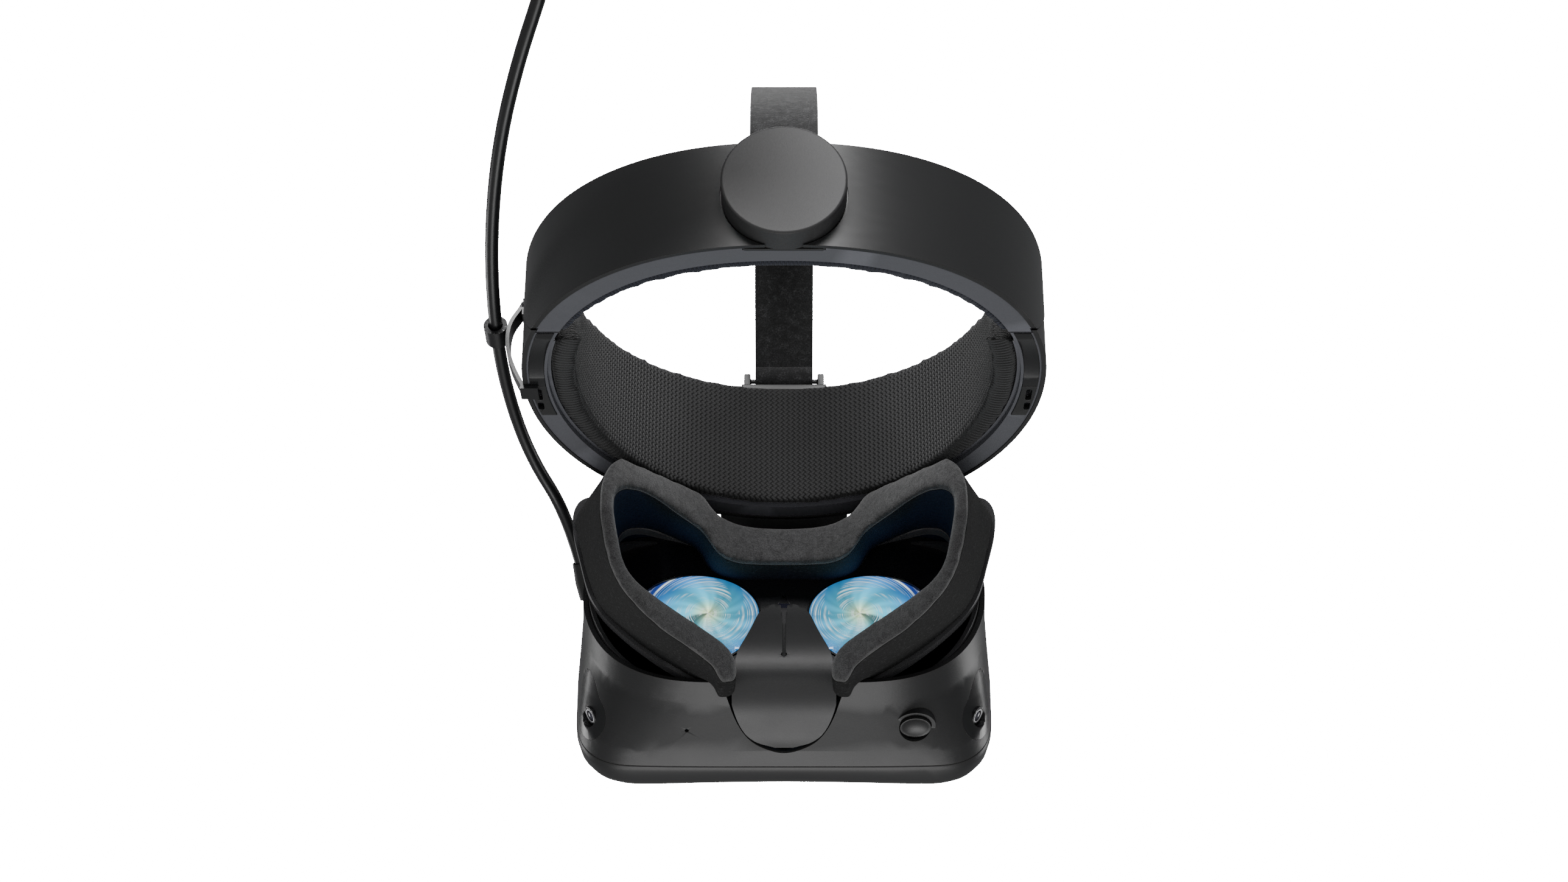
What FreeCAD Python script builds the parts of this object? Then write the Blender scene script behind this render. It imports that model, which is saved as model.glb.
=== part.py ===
import FreeCAD, Part
import math
import os

os.makedirs("parts", exist_ok=True)

# ---- driving dimensions (mm) ----
halo_tilt = 16.6          # the head band slopes down towards the back of the head
halo_half_width = 101.0   # outer half width of the band
halo_back = 101.7         # from the widest point to the back of the rear shell
halo_front = 121.0        # from the widest point to the front of the band
halo_widest_y = 15.0      # where the band is widest
band_low = -22.0          # lower edge of the band
rear_height = 43.3        # height of the rear shell
front_height = 58.6       # height of the band over the forehead
front_top_slope = 0.127   # the top edge falls towards the ears
shell_wall = 1.8          # moulded cover thickness
plate_wall = 1.8          # inner frame thickness
pad_border = 91.2         # half width where pad and frame meet
front_pad_side = 11.0     # front pad thickness at the temples
front_pad_mid = 7.0       # front pad thickness at the forehead
rear_pad_mid = 5.3        # rear pad thickness
slide_gap = 0.6           # gap between the rear shell and the arms
slide_travel = 18.0       # how far the rear band pulls out
tongue_end = 46.0         # end of the arm tongues
dial_radius = 22.5        # fit wheel radius
dial_thick = 9.0          # fit wheel thickness
shaft_radius = 4.0        # fit wheel shaft
pinion_radius = 6.0       # pitch radius of the pinion
pinion_teeth = 12         # teeth on the pinion
shaft_clearance = 0.05    # running clearance of shafts
strap_width = 25.0        # top strap width
strap_thick = 1.6         # top strap thickness
strap_peak = 98.6         # height of the strap over the band
eye_y = -116.5            # lens plane, front to back
eye_z = -37.3             # lens centres, height
ipd = 63.5                # distance between the lens centres
visor_half_front = 88.0   # half width of the visor at its front
visor_half_rear = 84.4    # half width of the visor at its rear edge
visor_depth = 60.0        # front of the visor from the lens plane
visor_low = -47.5         # underside of the visor at its front
visor_high = 52.0         # top of the visor
visor_wall = 2.2          # visor shell thickness
foam_half = 88.5          # half width of the face foam
foam_high = 57.5          # top of the face foam horns
nose_half = 24.2          # half width of the nose cut-out
nose_depth = 33.9         # depth of the nose cut-out
rubber_thick = 1.4        # nose flap thickness
camera_radius = 4.2       # camera bezel radius
button_radius = 6.4       # release button radius
button_travel = 1.5       # how far the button goes in
jack_radius = 1.78        # headphone socket bore
jack_depth = 14.0         # headphone socket depth
tilt_pin_radius = 2.0     # hinge pin of the visor
knuckle_radius = 4.2      # knuckles round the hinge pin
hinge_high = 56.0         # hinge pin above the lens centres
visor_travel = 12.0       # how far the visor slides forward
cord_radius = 2.6         # headset cord
coil_ring = 40.0          # coil centre-line radius
coil_bundle = 12.0        # half thickness of the coiled bundle
tail_radius = 2.0         # thin tails behind the splitter


def V(x, y, z):
    return FreeCAD.Vector(x, y, z)


halo = FreeCAD.Placement(V(0, 0, 0), FreeCAD.Rotation(V(1, 0, 0), -halo_tilt))
visor = FreeCAD.Placement(V(0, eye_y, eye_z), FreeCAD.Rotation())
world = FreeCAD.Placement()
made = []


def tidy(shape):
    shape = shape.removeSplitter()
    solids = shape.Solids
    if len(solids) == 1:
        return solids[0]
    return Part.makeCompound(solids)


def save(name, shape, place):
    shape = tidy(shape)
    shape = shape.copy()
    shape.Placement = place.multiply(shape.Placement)
    box = shape.BoundBox
    shape.exportStep("parts/" + name + ".step")
    made.append(name)
    print(name, len(shape.Solids), "solid", round(shape.Volume), "mm3", shape.isValid(),
          [round(v, 1) for v in (box.XMin, box.XMax, box.YMin, box.YMax, box.ZMin, box.ZMax)])
    return shape


def curve(points, closed=False):
    spline = Part.BSplineCurve()
    spline.interpolate(points, PeriodicFlag=closed)
    return spline.toShape()


def push(face, x, y, z):
    return face.extrude(V(x, y, z))


# ---- the head band's plan curves ----
def loop(inset, pad_front=0.0, pad_back=0.0, count=20):
    a = halo_half_width - inset
    back = halo_back - inset - pad_back
    front = halo_front - inset - pad_front
    points = []
    for i in range(2 * count):
        turn = math.pi * i / count
        c = math.cos(turn)
        s = math.sin(turn)
        power = 2 / 2.18 if s > 0 else 2 / 1.98
        x = a * math.copysign(abs(c) ** power, c)
        y = (back if s > 0 else front) * math.copysign(abs(s) ** power, s)
        points.append(V(x, halo_widest_y + y, 0))
    return points


def loop_face(points, z):
    face = Part.Face(Part.Wire([curve(points, True)]))
    face.translate(V(0, 0, z))
    return face


def ring(outer, inner, low, high):
    body = push(loop_face(outer, low), 0, 0, high - low)
    return body.cut(push(loop_face(inner, low - 1), 0, 0, high - low + 2))


def side_tool(points, half=150.0, rounds=()):
    wire = Part.makePolygon([V(-half, y, z) for y, z in points + [points[0]]])
    tool = push(Part.Face(wire), 2 * half, 0, 0)
    for spot, radius in rounds:
        edges = []
        for edge in tool.Edges:
            ends = [v.Point for v in edge.Vertexes]
            if all(abs(p.y - spot[0]) < 0.01 and abs(p.z - spot[1]) < 0.01 for p in ends):
                edges.append(edge)
        tool = tool.makeFillet(radius, edges)
    return tool


def cylinder(radius, start, direction, length):
    return Part.makeCylinder(radius, length, start, direction)


rear_top = band_low + rear_height
front_top = band_low + front_height
front_y = halo_widest_y - halo_front
back_y = halo_widest_y + halo_back
frame_inset = halo_half_width - pad_border
lean = 52.0 / 43.3
shell_foot = 57.0
frame_foot = 55.0


def slant(foot, z):
    return foot - (z - band_low) * lean


# ---- outer shell of the front band ----
band_top_line = [(front_y - 10, front_top + 10 * front_top_slope), (130, front_top - 236 * front_top_slope)]


def under_top(drop):
    (ya, za), (yb, zb) = band_top_line
    return side_tool([(-160, -40), (140, -40), (yb, zb - drop), (ya, za - drop), (-160, za - drop)])


front_side = side_tool([(-160, band_low), (slant(shell_foot - slide_gap, band_low), band_low),
                        (slant(shell_foot - slide_gap, 60), 60), (-160, 60)])
band_shell = ring(loop(0), loop(shell_wall), band_low, 45).common(under_top(0)).common(front_side)

# ---- inner channel of the front band ----
arm_side = side_tool([(-160, band_low), (slant(frame_foot - slide_gap, band_low), band_low),
                      (slant(frame_foot - slide_gap, 60), 60), (-160, 60)])
inner_border = loop(frame_inset, 1.0)
band_inner = ring(loop(shell_wall + 0.05), inner_border, band_low + 0.4, 45).common(under_top(0.6)).common(arm_side)
core = ring(loop(shell_wall + 1.4), loop(frame_inset - plate_wall, 1.0), band_low + 2.4, 45).common(under_top(3.0))
core = core.common(side_tool([(-160, -40), (slant(frame_foot - 3, -40), -40), (slant(frame_foot - 3, 60), 60), (-160, 60)]))
band_inner = band_inner.cut(core)

# recesses for the arm liners and the speaker panels
liner_back = 53.6
liner_front = 13.0
liner_zone = Part.makeBox(260, liner_back - liner_front, 3.0, V(-130, liner_front, band_low))
panel_front = -11.0
panel_zone = Part.makeBox(260, liner_front - 0.4 - panel_front, 2.2, V(-130, panel_front, band_low))
strip = ring(loop(shell_wall + 0.9), loop(frame_inset - 1.2, 1.0), band_low, 0)
liners = strip.common(liner_zone).cut(cylinder(62.5, V(-130, 34, band_low - 60.5), V(1, 0, 0), 260)).common(arm_side)
panels = strip.common(panel_zone)
pocket = ring(loop(shell_wall + 0.8), loop(frame_inset - 1.1, 1.0), band_low - 1, 0)
band_inner = band_inner.cut(pocket.common(Part.makeBox(260, liner_back - panel_front + 0.2, 4.1, V(-130, panel_front - 0.1, band_low - 1))))
shelf = strip.common(Part.makeBox(260, liner_back - panel_front + 1, 1.4, V(-130, panel_front - 0.5, band_low + 3.1)))
band_inner = band_inner.fuse(shelf.common(arm_side))


def slot_tool(y, length, side):
    x = side * 95.4
    body = Part.makeBox(2.2, length - 2.2, 8, V(x - 1.1, y - length / 2 + 1.1, band_low - 3))
    for end in (-1, 1):
        body = body.fuse(cylinder(1.1, V(x, y + end * (length / 2 - 1.1), band_low - 3), V(0, 0, 1), 8))
    return body


slots = slot_tool(5.7, 8.6, 1).fuse([slot_tool(-3.6, 6.0, 1), slot_tool(5.7, 8.6, -1), slot_tool(-3.6, 6.0, -1)])
panels = panels.cut(slots)
band_inner = band_inner.cut(slots)
left_half = Part.makeBox(160, 320, 200, V(0, -160, -100))
right_half = Part.makeBox(160, 320, 200, V(-160, -160, -100))

# bracket that carries the visor in front of the band
bracket_half = 27.0
hinge_world = V(0, eye_y - 12.0, eye_z + hinge_high)
hinge = halo.inverse().multVec(hinge_world)
knuckle_y = hinge.y
knuckle_z = hinge.z
bracket = Part.makeBox(2 * bracket_half, front_y + 12.0 - knuckle_y - 4.0, 4.6, V(-bracket_half, knuckle_y + 4.0, band_low + 0.2))
bracket = bracket.fuse(Part.makeBox(2 * bracket_half, 15.5, 28.0, V(-bracket_half, front_y - 3.5, band_low + 0.2)))
bracket = bracket.cut(push(loop_face(loop(-0.1), band_low - 2), 0, 0, 60))
for x in (-bracket_half, bracket_half - 9.0):
    ear = cylinder(knuckle_radius, V(x, knuckle_y, knuckle_z), V(1, 0, 0), 9.0)
    web = Part.makeBox(9.0, 6.0, 4.6, V(x, knuckle_y, band_low + 0.2))
    bracket = bracket.fuse([ear, web])
pin_axis = V(1, 0, 0)
bracket = bracket.cut(cylinder(knuckle_radius + 0.5, V(-18.0, knuckle_y, knuckle_z), pin_axis, 36.0))
bracket = bracket.cut(cylinder(tilt_pin_radius, V(-40, knuckle_y, knuckle_z), pin_axis, 80))
tilt_pin = cylinder(tilt_pin_radius, V(-bracket_half - 0.5, knuckle_y, knuckle_z), pin_axis, 2 * bracket_half + 1)
screw_tools = []
for x in (-18.0, 0.0, 18.0):
    for z in (-11.0, 0.0):
        screw_tools.append(cylinder(1.5, V(x, front_y - 3.0, z), V(0, 1, 0), 8.0).fuse(
            cylinder(2.6, V(x, front_y - 3.6, z), V(0, 1, 0), 1.6)))
screws = screw_tools[0].fuse(screw_tools[1:])
bracket = bracket.cut(screws)
band_shell = band_shell.cut(screws)
band_inner = band_inner.cut(screws)
arm_liner_left = liners.common(left_half)
arm_liner_right = liners.common(right_half)
save("band_shell", band_shell, halo)
save("band_inner", band_inner, halo)
save("arm_liner_left", arm_liner_left, halo)
save("arm_liner_right", arm_liner_right, halo)
save("speaker_panel_left", panels.common(left_half), halo)
save("speaker_panel_right", panels.common(right_half), halo)
save("bracket", bracket, halo)
save("bracket_screws", screws, halo)
save("tilt_pin", tilt_pin, halo)

# ---- speaker drivers above the slots ----
driver_zone = Part.makeBox(260, 20, 9.0, V(-130, -9.0, band_low + 4.6))
drivers = ring(loop(shell_wall + 1.6), loop(frame_inset - 2.2, 1.0), band_low, 10).common(driver_zone)
# ---- arm tongues that slide inside the rear shell ----
tongues = ring(loop(2.3), loop(3.7), -10, 14).common(side_tool([(-12, -10), (tongue_end, -10), (tongue_end, 14), (-12, 14)],
                                                               150.0, [((tongue_end, -10), 5), ((tongue_end, 14), 5)]))
tongue_root = ring(loop(3.2), loop(3.7), -10, 14)
tongues = tongues.cut(ring(loop(1.0), loop(3.25), -30, 30).common(Part.makeBox(260, 42, 60, V(-130, -20, -30)).cut(
    side_tool([(slant(frame_foot, -30), -30), (200, -30), (200, 30), (slant(frame_foot, 30), 30)]))))
drivers = drivers.cut(tongues)
save("speaker_drivers", drivers, halo)
save("arm_tongues", tongues, halo)

# ---- front pad and its backing ----
pad_tool = side_tool([(-160, band_low + 0.8), (49.0, band_low + 0.8), (9.5, 17.0), (-160, 60)])
backing = ring(loop(frame_inset + 0.02, 1.02), loop(frame_inset + 1.4, 1.2), band_low + 2.5, 45)
backing = backing.common(under_top(3.5)).common(side_tool([(-160, -19.5), (44, -19.5), (9, 14), (-160, 60)]))
front_pad = ring(loop(frame_inset + 1.42, 1.22), loop(frame_inset + front_pad_side, front_pad_mid - front_pad_side), band_low + 0.8, 45)
front_pad = front_pad.common(under_top(1.2)).common(pad_tool)
save("front_pad_backing", backing, halo)
save("front_pad", front_pad, halo)

# ---- rear band: outer shell, inner frame, pad ----
rear_tool = side_tool([(shell_foot, band_low), (200, band_low), (200, rear_top), (slant(shell_foot, rear_top), rear_top)],
                      150.0, [((shell_foot, band_low), 7.0), ((slant(shell_foot, rear_top), rear_top), 5.0)])
rear_shell = ring(loop(-0.3), loop(shell_wall - 0.3), band_low, rear_top).common(rear_tool)
boss_y = back_y - 2.6
boss_floor = 1.25
boss = cylinder(26.0, V(0, boss_y - boss_floor, 0), V(0, 1, 0), boss_floor)
boss = boss.common(push(loop_face(loop(1.0), band_low + 0.02), 0, 0, rear_top - band_low - 0.04))
rear_shell = rear_shell.cut(cylinder(dial_radius + 0.5, V(0, boss_y, 0), V(0, 1, 0), 12)).fuse(
    boss.cut(cylinder(dial_radius + 0.5, V(0, boss_y, 0), V(0, 1, 0), 12)))
rear_shell = rear_shell.cut(cylinder(shaft_radius + shaft_clearance, V(0, back_y - 12, 0), V(0, 1, 0), 16))
strap_hole = Part.makeBox(strap_width + 1.0, strap_thick + 1.2, 14, V(-strap_width / 2 - 0.5, back_y - 9.6, rear_top - 8))
frame_tool = side_tool([(frame_foot, band_low), (200, band_low), (200, rear_top), (slant(frame_foot, rear_top) + 2, rear_top)])
rear_frame = ring(loop(shell_wall - 0.25), loop(frame_inset, 0, 1.5), band_low + 0.4, rear_top - 0.3).common(frame_tool)
rear_core = ring(loop(-2.0), loop(frame_inset - plate_wall, 0, 1.5), band_low + 2.4, rear_top - 2.1)
rear_frame = rear_frame.cut(rear_core).cut(strap_hole)
end_y = shell_foot + 0.7
overlap_zone = side_tool([(-160, -40), (slant(end_y, -40), -40), (slant(end_y, 60), 60), (-160, 60)])
rear_frame = rear_frame.cut(ring(loop(-2.0), loop(shell_wall + 0.35), -40, 60).common(overlap_zone))
rear_frame = rear_frame.cut(cylinder(dial_radius + 0.6, V(0, boss_y, 0), V(0, 1, 0), 12))
rear_frame = rear_frame.cut(cylinder(26.2, V(0, boss_y - boss_floor - 0.1, 0), V(0, 1, 0), 14))
rear_frame = rear_frame.cut(cylinder(pinion_radius + 1.6, V(0, back_y - 11.4, 0), V(0, 1, 0), 16))
rear_pad = ring(loop(frame_inset + 0.02, 0, 1.52), loop(frame_inset + 2.6, 0, 1.6 + rear_pad_mid - 2.6), band_low + 0.6, rear_top - 0.6)
rear_pad = rear_pad.common(side_tool([(frame_foot + 0.4, band_low), (200, band_low), (200, rear_top),
                                      (slant(frame_foot, rear_top) + 3, rear_top)]))
save("rear_shell", rear_shell, halo)
save("rear_frame", rear_frame, halo)
save("rear_pad", rear_pad, halo)

# ---- rack strips that run round the inside of the rear shell ----
rack_y = back_y - 9.2
strip_ring = ring(loop(4.0), loop(5.6), -11.0, 11.0).common(side_tool([(58, -11), (200, -11), (200, 11), (58, 11)]))
upper = side_tool([(50, pinion_radius - 0.2), (200, pinion_radius - 0.2), (200, pinion_radius + 3.8), (50, pinion_radius + 3.8)])
lower = side_tool([(50, -pinion_radius - 3.8), (200, -pinion_radius - 3.8), (200, -pinion_radius + 0.2), (50, -pinion_radius + 0.2)])
left_run = Part.makeBox(150, 300, 60, V(-18, -100, -30))
right_run = Part.makeBox(150, 300, 60, V(-132, -100, -30))
save("rack_left", strip_ring.common(upper).common(left_run), halo)
save("rack_right", strip_ring.common(lower).common(right_run), halo)

# ---- fit wheel with its shaft and pinion ----
dial = cylinder(dial_radius, V(0, boss_y + 0.4, 0), V(0, 1, 0), back_y + dial_thick - boss_y - 0.4)
rim_edges = [e for e in dial.Edges if abs(e.BoundBox.YMin - (back_y + dial_thick)) < 0.01 and e.BoundBox.XLength > 20]
dial = dial.makeFillet(0.9, rim_edges)
dial = dial.cut(cylinder(dial_radius - 2.4, V(0, boss_y, 0), V(0, 1, 0), back_y + dial_thick - 2.4 - boss_y).cut(
    cylinder(7.0, V(0, boss_y, 0), V(0, 1, 0), 30)))
shaft_socket = cylinder(shaft_radius, V(0, boss_y, 0), V(0, 1, 0), 6.4)
dial = dial.cut(shaft_socket)
shaft = cylinder(shaft_radius, V(0, back_y - 9.4, 0), V(0, 1, 0), 9.4 + 3.4)
teeth = []
for i in range(pinion_teeth):
    turn = 360.0 * i / pinion_teeth
    tooth = Part.makeBox(3.4, 2.4, 1.5, V(3.2, back_y - 9.4, -0.75))
    tooth.rotate(V(0, back_y, 0), V(0, 1, 0), turn)
    teeth.append(tooth)
pinion = shaft.fuse(teeth)
dial_screw = cylinder(1.2, V(0, back_y - 8.0, 0), V(0, 1, 0), 6.0).fuse(cylinder(2.6, V(0, back_y - 10.9, 0), V(0, 1, 0), 1.5))
dial_screw = dial_screw.fuse(cylinder(1.2, V(0, back_y - 9.5, 0), V(0, 1, 0), 2.0))
pinion = pinion.cut(dial_screw)
save("fit_dial", dial, halo)
save("dial_shaft", pinion, halo)
save("dial_screw", dial_screw, halo)


# ---- top strap, its buckle ----
def ribbon(path, thick, half, closed_ends=True):
    spine = Part.BSplineCurve()
    spine.interpolate([V(0, y, z) for y, z in path])
    outer = []
    inner = []
    steps = 26
    for i in range(steps + 1):
        t = spine.FirstParameter + (spine.LastParameter - spine.FirstParameter) * i / steps
        p = spine.value(t)
        tangent = spine.tangent(t)[0]
        normal = V(0, -tangent.z, tangent.y)
        outer.append(p + normal * (thick / 2))
        inner.append(p - normal * (thick / 2))
    edges = [curve(outer), Part.LineSegment(outer[-1], inner[-1]).toShape(), curve(inner),
             Part.LineSegment(inner[0], outer[0]).toShape()]
    face = Part.Face(Part.Wire(Part.__sortEdges__(edges)))
    face.translate(V(-half, 0, 0))
    return push(face, 2 * half, 0, 0)


strap_back_y = back_y - 8.4
bar_y = front_y + 6.0
bar_z = front_top + 4.6
strap_path = [(strap_back_y, rear_top - 6), (strap_back_y - 0.4, rear_top + 8), (96, rear_top + 32), (76, strap_peak - 26),
              (44, strap_peak - 6), (8, strap_peak), (-30, strap_peak - 5), (-62, strap_peak - 21),
              (-84, strap_peak - 42), (bar_y + 4.5, bar_z + 5.0)]
top_strap = ribbon(strap_path, strap_thick, strap_width / 2)
fold_path = [(bar_y + 4.5, bar_z + 5.0), (bar_y + 1.8, bar_z - 1.4), (bar_y - 1.4, bar_z - 1.7), (bar_y - 1.6, bar_z + 2.6),
             (bar_y + 2.2, bar_z + 7.6)]
fold = ribbon(fold_path, strap_thick, strap_width / 2)
tail_path = [(bar_y + 2.2, bar_z + 7.6), (-86.0, strap_peak - 40.6), (-64.0, strap_peak - 18.8), (-46.0, strap_peak - 8.6)]
tail = ribbon(tail_path, strap_thick * 0.9, strap_width / 2 - 0.3)
top_strap = top_strap.fuse([fold, tail])
buckle_base = Part.makeBox(37.0, 7.0, 3.0, V(-18.5, bar_y - 3.5, bar_z - 5.4))
buckle = buckle_base
for side in (-1, 1):
    post = Part.makeBox(2.8, 4.0, 9.0, V(side * 16.0 - 1.4, bar_y - 2.0, bar_z - 5.4))
    buckle = buckle.fuse(post)
buckle = buckle.fuse(cylinder(1.0, V(-16, bar_y + 0.2, bar_z + 0.4), V(1, 0, 0), 32))
buckle = buckle.cut(push(loop_face(loop(-20), -30), 0, 0, 200).common(under_top(-0.02)))
save("top_strap", top_strap, halo)
save("strap_buckle", buckle, halo)


# ---- visor outlines: front view curves from a half, mirrored ----
def mirrored(half):
    points = [V(x, 0, z) for x, z in half]
    other = [V(-x, 0, z) for x, z in reversed(half) if abs(x) > 0.001]
    return points + other


def section(half, y, shrink=0.0):
    centre_z = 2.0
    points = []
    for p in mirrored(half):
        reach = math.hypot(p.x, p.z - centre_z)
        k = (reach - shrink) / reach
        points.append(V(p.x * k, y, centre_z + (p.z - centre_z) * k))
    return Part.Wire([curve(points, True)])


wf = visor_half_front
wr = visor_half_rear
lo = visor_low
hi = visor_high
front_half = [(0, hi), (0.4 * wf, hi - 0.3), (0.7 * wf, hi - 3), (0.88 * wf, hi - 13), (0.97 * wf, hi - 30), (wf, 0),
              (wf, lo + 24), (0.965 * wf, lo + 11), (0.87 * wf, lo + 3), (0.7 * wf, lo + 0.4), (0.38 * wf, lo), (0, lo)]
rear_half = [(0, hi - 6.5), (0.4 * wr, hi - 6.6), (0.7 * wr, hi - 8.5), (0.88 * wr, hi - 15), (0.98 * wr, hi - 28), (wr, hi - 42),
             (0.955 * wr, -9.5), (0.855 * wr, -23.4), (0.71 * wr, -32.4), (0.56 * wr, -36.6), (0.29 * wr, -38.2), (0, -38.4)]


def visor_block(shrink, back, nose):
    front_y_in = visor_depth - nose
    wires = []
    stations = [-back, 10.0, 21.0, 33.0, 45.0]
    for y in stations:
        part = max(0.0, min(1.0, y / 45.0))
        mix = part * part * (3 - 2 * part)
        half = [(a * mix + c * (1 - mix), b * mix + d * (1 - mix)) for (a, b), (c, d) in zip(front_half, rear_half)]
        wires.append(section(half, -y, shrink))
    depth = front_y_in - 45.0
    for u in (0.42, 0.70, 0.90, 1.0):
        wires.append(section(front_half, -45.0 - depth * u, shrink + 10.0 * (1 - math.sqrt(1.0001 - u * u))))
    return Part.makeLoft(wires, True, True)


outer_block = visor_block(0.0, 3.0, 0.0)
inner_block = visor_block(visor_wall, 3.05, 2.4)
housing = outer_block.cut(inner_block)
print("visor block", outer_block.isValid(), inner_block.isValid(), round(outer_block.Volume), round(housing.Volume))


def nose_plan(grow, y_back):
    n = nose_half + grow
    half = [(n, y_back), (n, -2.2), (0.86 * n, -15.3), (0.5 * n, -29.2), (0.22 * n, -nose_depth + 1.2 - grow)]
    right = [V(x, y, 0) for x, y in half[1:]]
    left = [V(-x, y, 0) for x, y in reversed(half[1:])]
    arc = curve(right + [V(0, -nose_depth - grow, 0)] + left)
    edges = [Part.LineSegment(V(n, y_back, 0), V(n, -2.2, 0)).toShape(), arc,
             Part.LineSegment(V(-n, -2.2, 0), V(-n, y_back, 0)).toShape(),
             Part.LineSegment(V(-n, y_back, 0), V(n, y_back, 0)).toShape()]
    return Part.Face(Part.Wire(Part.__sortEdges__(edges)))


nose_cut = nose_plan(0.0, 20.0)
nose_cut.translate(V(0, 0, -60))
nose_cut = push(nose_cut, 0, 0, 40)
housing = housing.cut(nose_cut)

# front cover is its own moulding
cover_zone = Part.makeBox(220, 40, 140, V(-110, -visor_depth - 22, -70))
front_cover = housing.common(cover_zone)
housing = housing.cut(Part.makeBox(220, 40.3, 140, V(-110, -visor_depth - 22, -70)))

# release button bore, microphone port, camera bores, headphone socket
button_x = -54.3
button_y = -21.9
button_low = -44.0
boss_low = cylinder(button_radius + 2.0, V(button_x, button_y, -41.0), V(0, 0, 1), 9.0)
housing = housing.fuse(boss_low)
housing = housing.cut(cylinder(button_radius + 0.3, V(button_x, button_y, -46.0), V(0, 0, 1), 13.5))
housing = housing.cut(cylinder(2.6, V(button_x, button_y, -40.0), V(0, 0, 1), 12))
mic_spot = V(40.2, -22.9, -45.0)
housing = housing.cut(cylinder(0.8, mic_spot, V(0, 0, 1), 8.0))
jack_y = 1.0 - 16.0
jack_z = 22.0
jack_start = V(visor_half_front - 5.0 + 4.0, jack_y, jack_z)
jack = cylinder(3.6, V(visor_half_rear - 16.0, jack_y, jack_z), V(1, 0, 0), 16.6)
jack = jack.cut(cylinder(jack_radius, V(visor_half_rear + 0.6 - jack_depth, jack_y, jack_z), V(1, 0, 0), jack_depth + 4))
housing = housing.cut(cylinder(3.65, V(visor_half_rear - 17.0, jack_y, jack_z), V(1, 0, 0), 30))

# side cameras on the lower corners
cam_dirs = {}
side_normal = V(0.80, 0.12, -0.59)
side_normal.normalize()
cam_spot = V(80.6, -28.5, -30.5)


def flip(shape):
    return shape.mirror(V(0, 0, 0), V(1, 0, 0))


turn_to_side = FreeCAD.Rotation(V(0, 0, 1), side_normal)
drop_points = []
for i in range(24):
    a = 2 * math.pi * i / 24
    reach = 9.6 + (9.0 * max(0.0, math.cos(a)) ** 6)
    drop_points.append(V(reach * math.cos(a), reach * math.sin(a), 0))
drop = push(Part.Face(Part.Wire([curve(drop_points, True)])), 0, 0, 40)
drop_place = FreeCAD.Placement(cam_spot - side_normal * 22, turn_to_side)
axis_x = turn_to_side.multVec(V(1, 0, 0))
want = V(0.25, 0.62, 0.60)
want = want - side_normal * want.dot(side_normal)
want.normalize()
spin = math.degrees(math.atan2(axis_x.cross(want).dot(side_normal), axis_x.dot(want)))
drop.rotate(V(0, 0, 0), V(0, 0, 1), spin)
drop.Placement = drop_place.multiply(drop.Placement)
corner_wall = outer_block.cut(inner_block).cut(Part.makeBox(220, 40.0, 140, V(-110, -visor_depth - 22, -70)))
panel_left = corner_wall.common(drop)
drop_seat = drop.copy()
bore_left = cylinder(camera_radius, cam_spot - side_normal * 12, side_normal, 30)
camera_left = cylinder(camera_radius - 0.05, cam_spot - side_normal * 9, side_normal, 9.6)
camera_left = camera_left.cut(cylinder(camera_radius - 1.3, cam_spot - side_normal * 0.4, side_normal, 4))
glass_left = Part.makeSphere(3.4, cam_spot - side_normal * 2.6).common(
    cylinder(camera_radius - 1.35, cam_spot - side_normal * 0.38, side_normal, 4))
housing = housing.cut(drop).cut(flip(drop))
panel_left = panel_left.cut(bore_left)

# front and top cameras
front_cams = []
for x in (-58.0, 58.0):
    front_cams.append((V(x, -visor_depth + 4.0, -20.0), V(0, -1, 0)))
front_cams.append((V(0, -50.0, visor_high - 3.6), V(0, 0, 1)))
cam_bodies = []
cam_glass = []
for spot, way in front_cams:
    bore = cylinder(camera_radius, spot - way * 10, way, 20)
    housing = housing.cut(bore)
    front_cover = front_cover.cut(bore)
    body = cylinder(camera_radius - 0.05, spot - way * 6, way, 9.4)
    body = body.cut(cylinder(camera_radius - 1.3, spot + way * 2.6, way, 4))
    cam_bodies.append(body)
    cam_glass.append(Part.makeSphere(3.4, spot + way * 0.4).common(cylinder(camera_radius - 1.35, spot + way * 2.62, way, 4)))
cam_bodies += [camera_left, flip(camera_left)]
cam_glass += [glass_left, flip(glass_left)]

# rail on the visor's roof and the arm that slides in it
rail_half = 16.0
rail_front = -41.0
rail_back = -15.0
rail = Part.makeBox(2 * rail_half, rail_back - rail_front, 9.6, V(-rail_half, rail_front, 49.4))
rail = rail.cut(Part.makeBox(26.4, 40, 3.4, V(-13.2, rail_front + 1.4, 53.9)))
rail = rail.cut(Part.makeBox(20.0, 40, 4.0, V(-10.0, rail_front + 1.4, 56.5)))
rail = rail.cut(cylinder(knuckle_radius + 0.4, V(-18.0, -12.0, hinge_high), V(1, 0, 0), 36.0))
rail = rail.cut(Part.makeBox(26.4, 4.0, 4.4, V(-13.2, -17.0, 53.9)))
roof_slot = Part.makeBox(2 * rail_half, rail_back - rail_front, 9.6, V(-rail_half, rail_front, 49.4))
housing = housing.cut(roof_slot)
rail_rib = Part.makeBox(2 * rail_half, rail_back - rail_front, 3.2, V(-rail_half, rail_front, 46.2)).common(inner_block)
housing = housing.fuse(rail_rib)
arm = Part.makeBox(25.6, 22.0, 2.6, V(-12.8, -37.6, 54.2))
arm = arm.fuse(Part.makeBox(25.6, 5.0, 3.6, V(-12.8, -16.4, 54.2)))
arm = arm.fuse(cylinder(knuckle_radius, V(-17.6, -12.0, hinge_high), V(1, 0, 0), 35.2))
arm = arm.cut(cylinder(tilt_pin_radius + shaft_clearance, V(-40, -12.0, hinge_high), V(1, 0, 0), 80))
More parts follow.
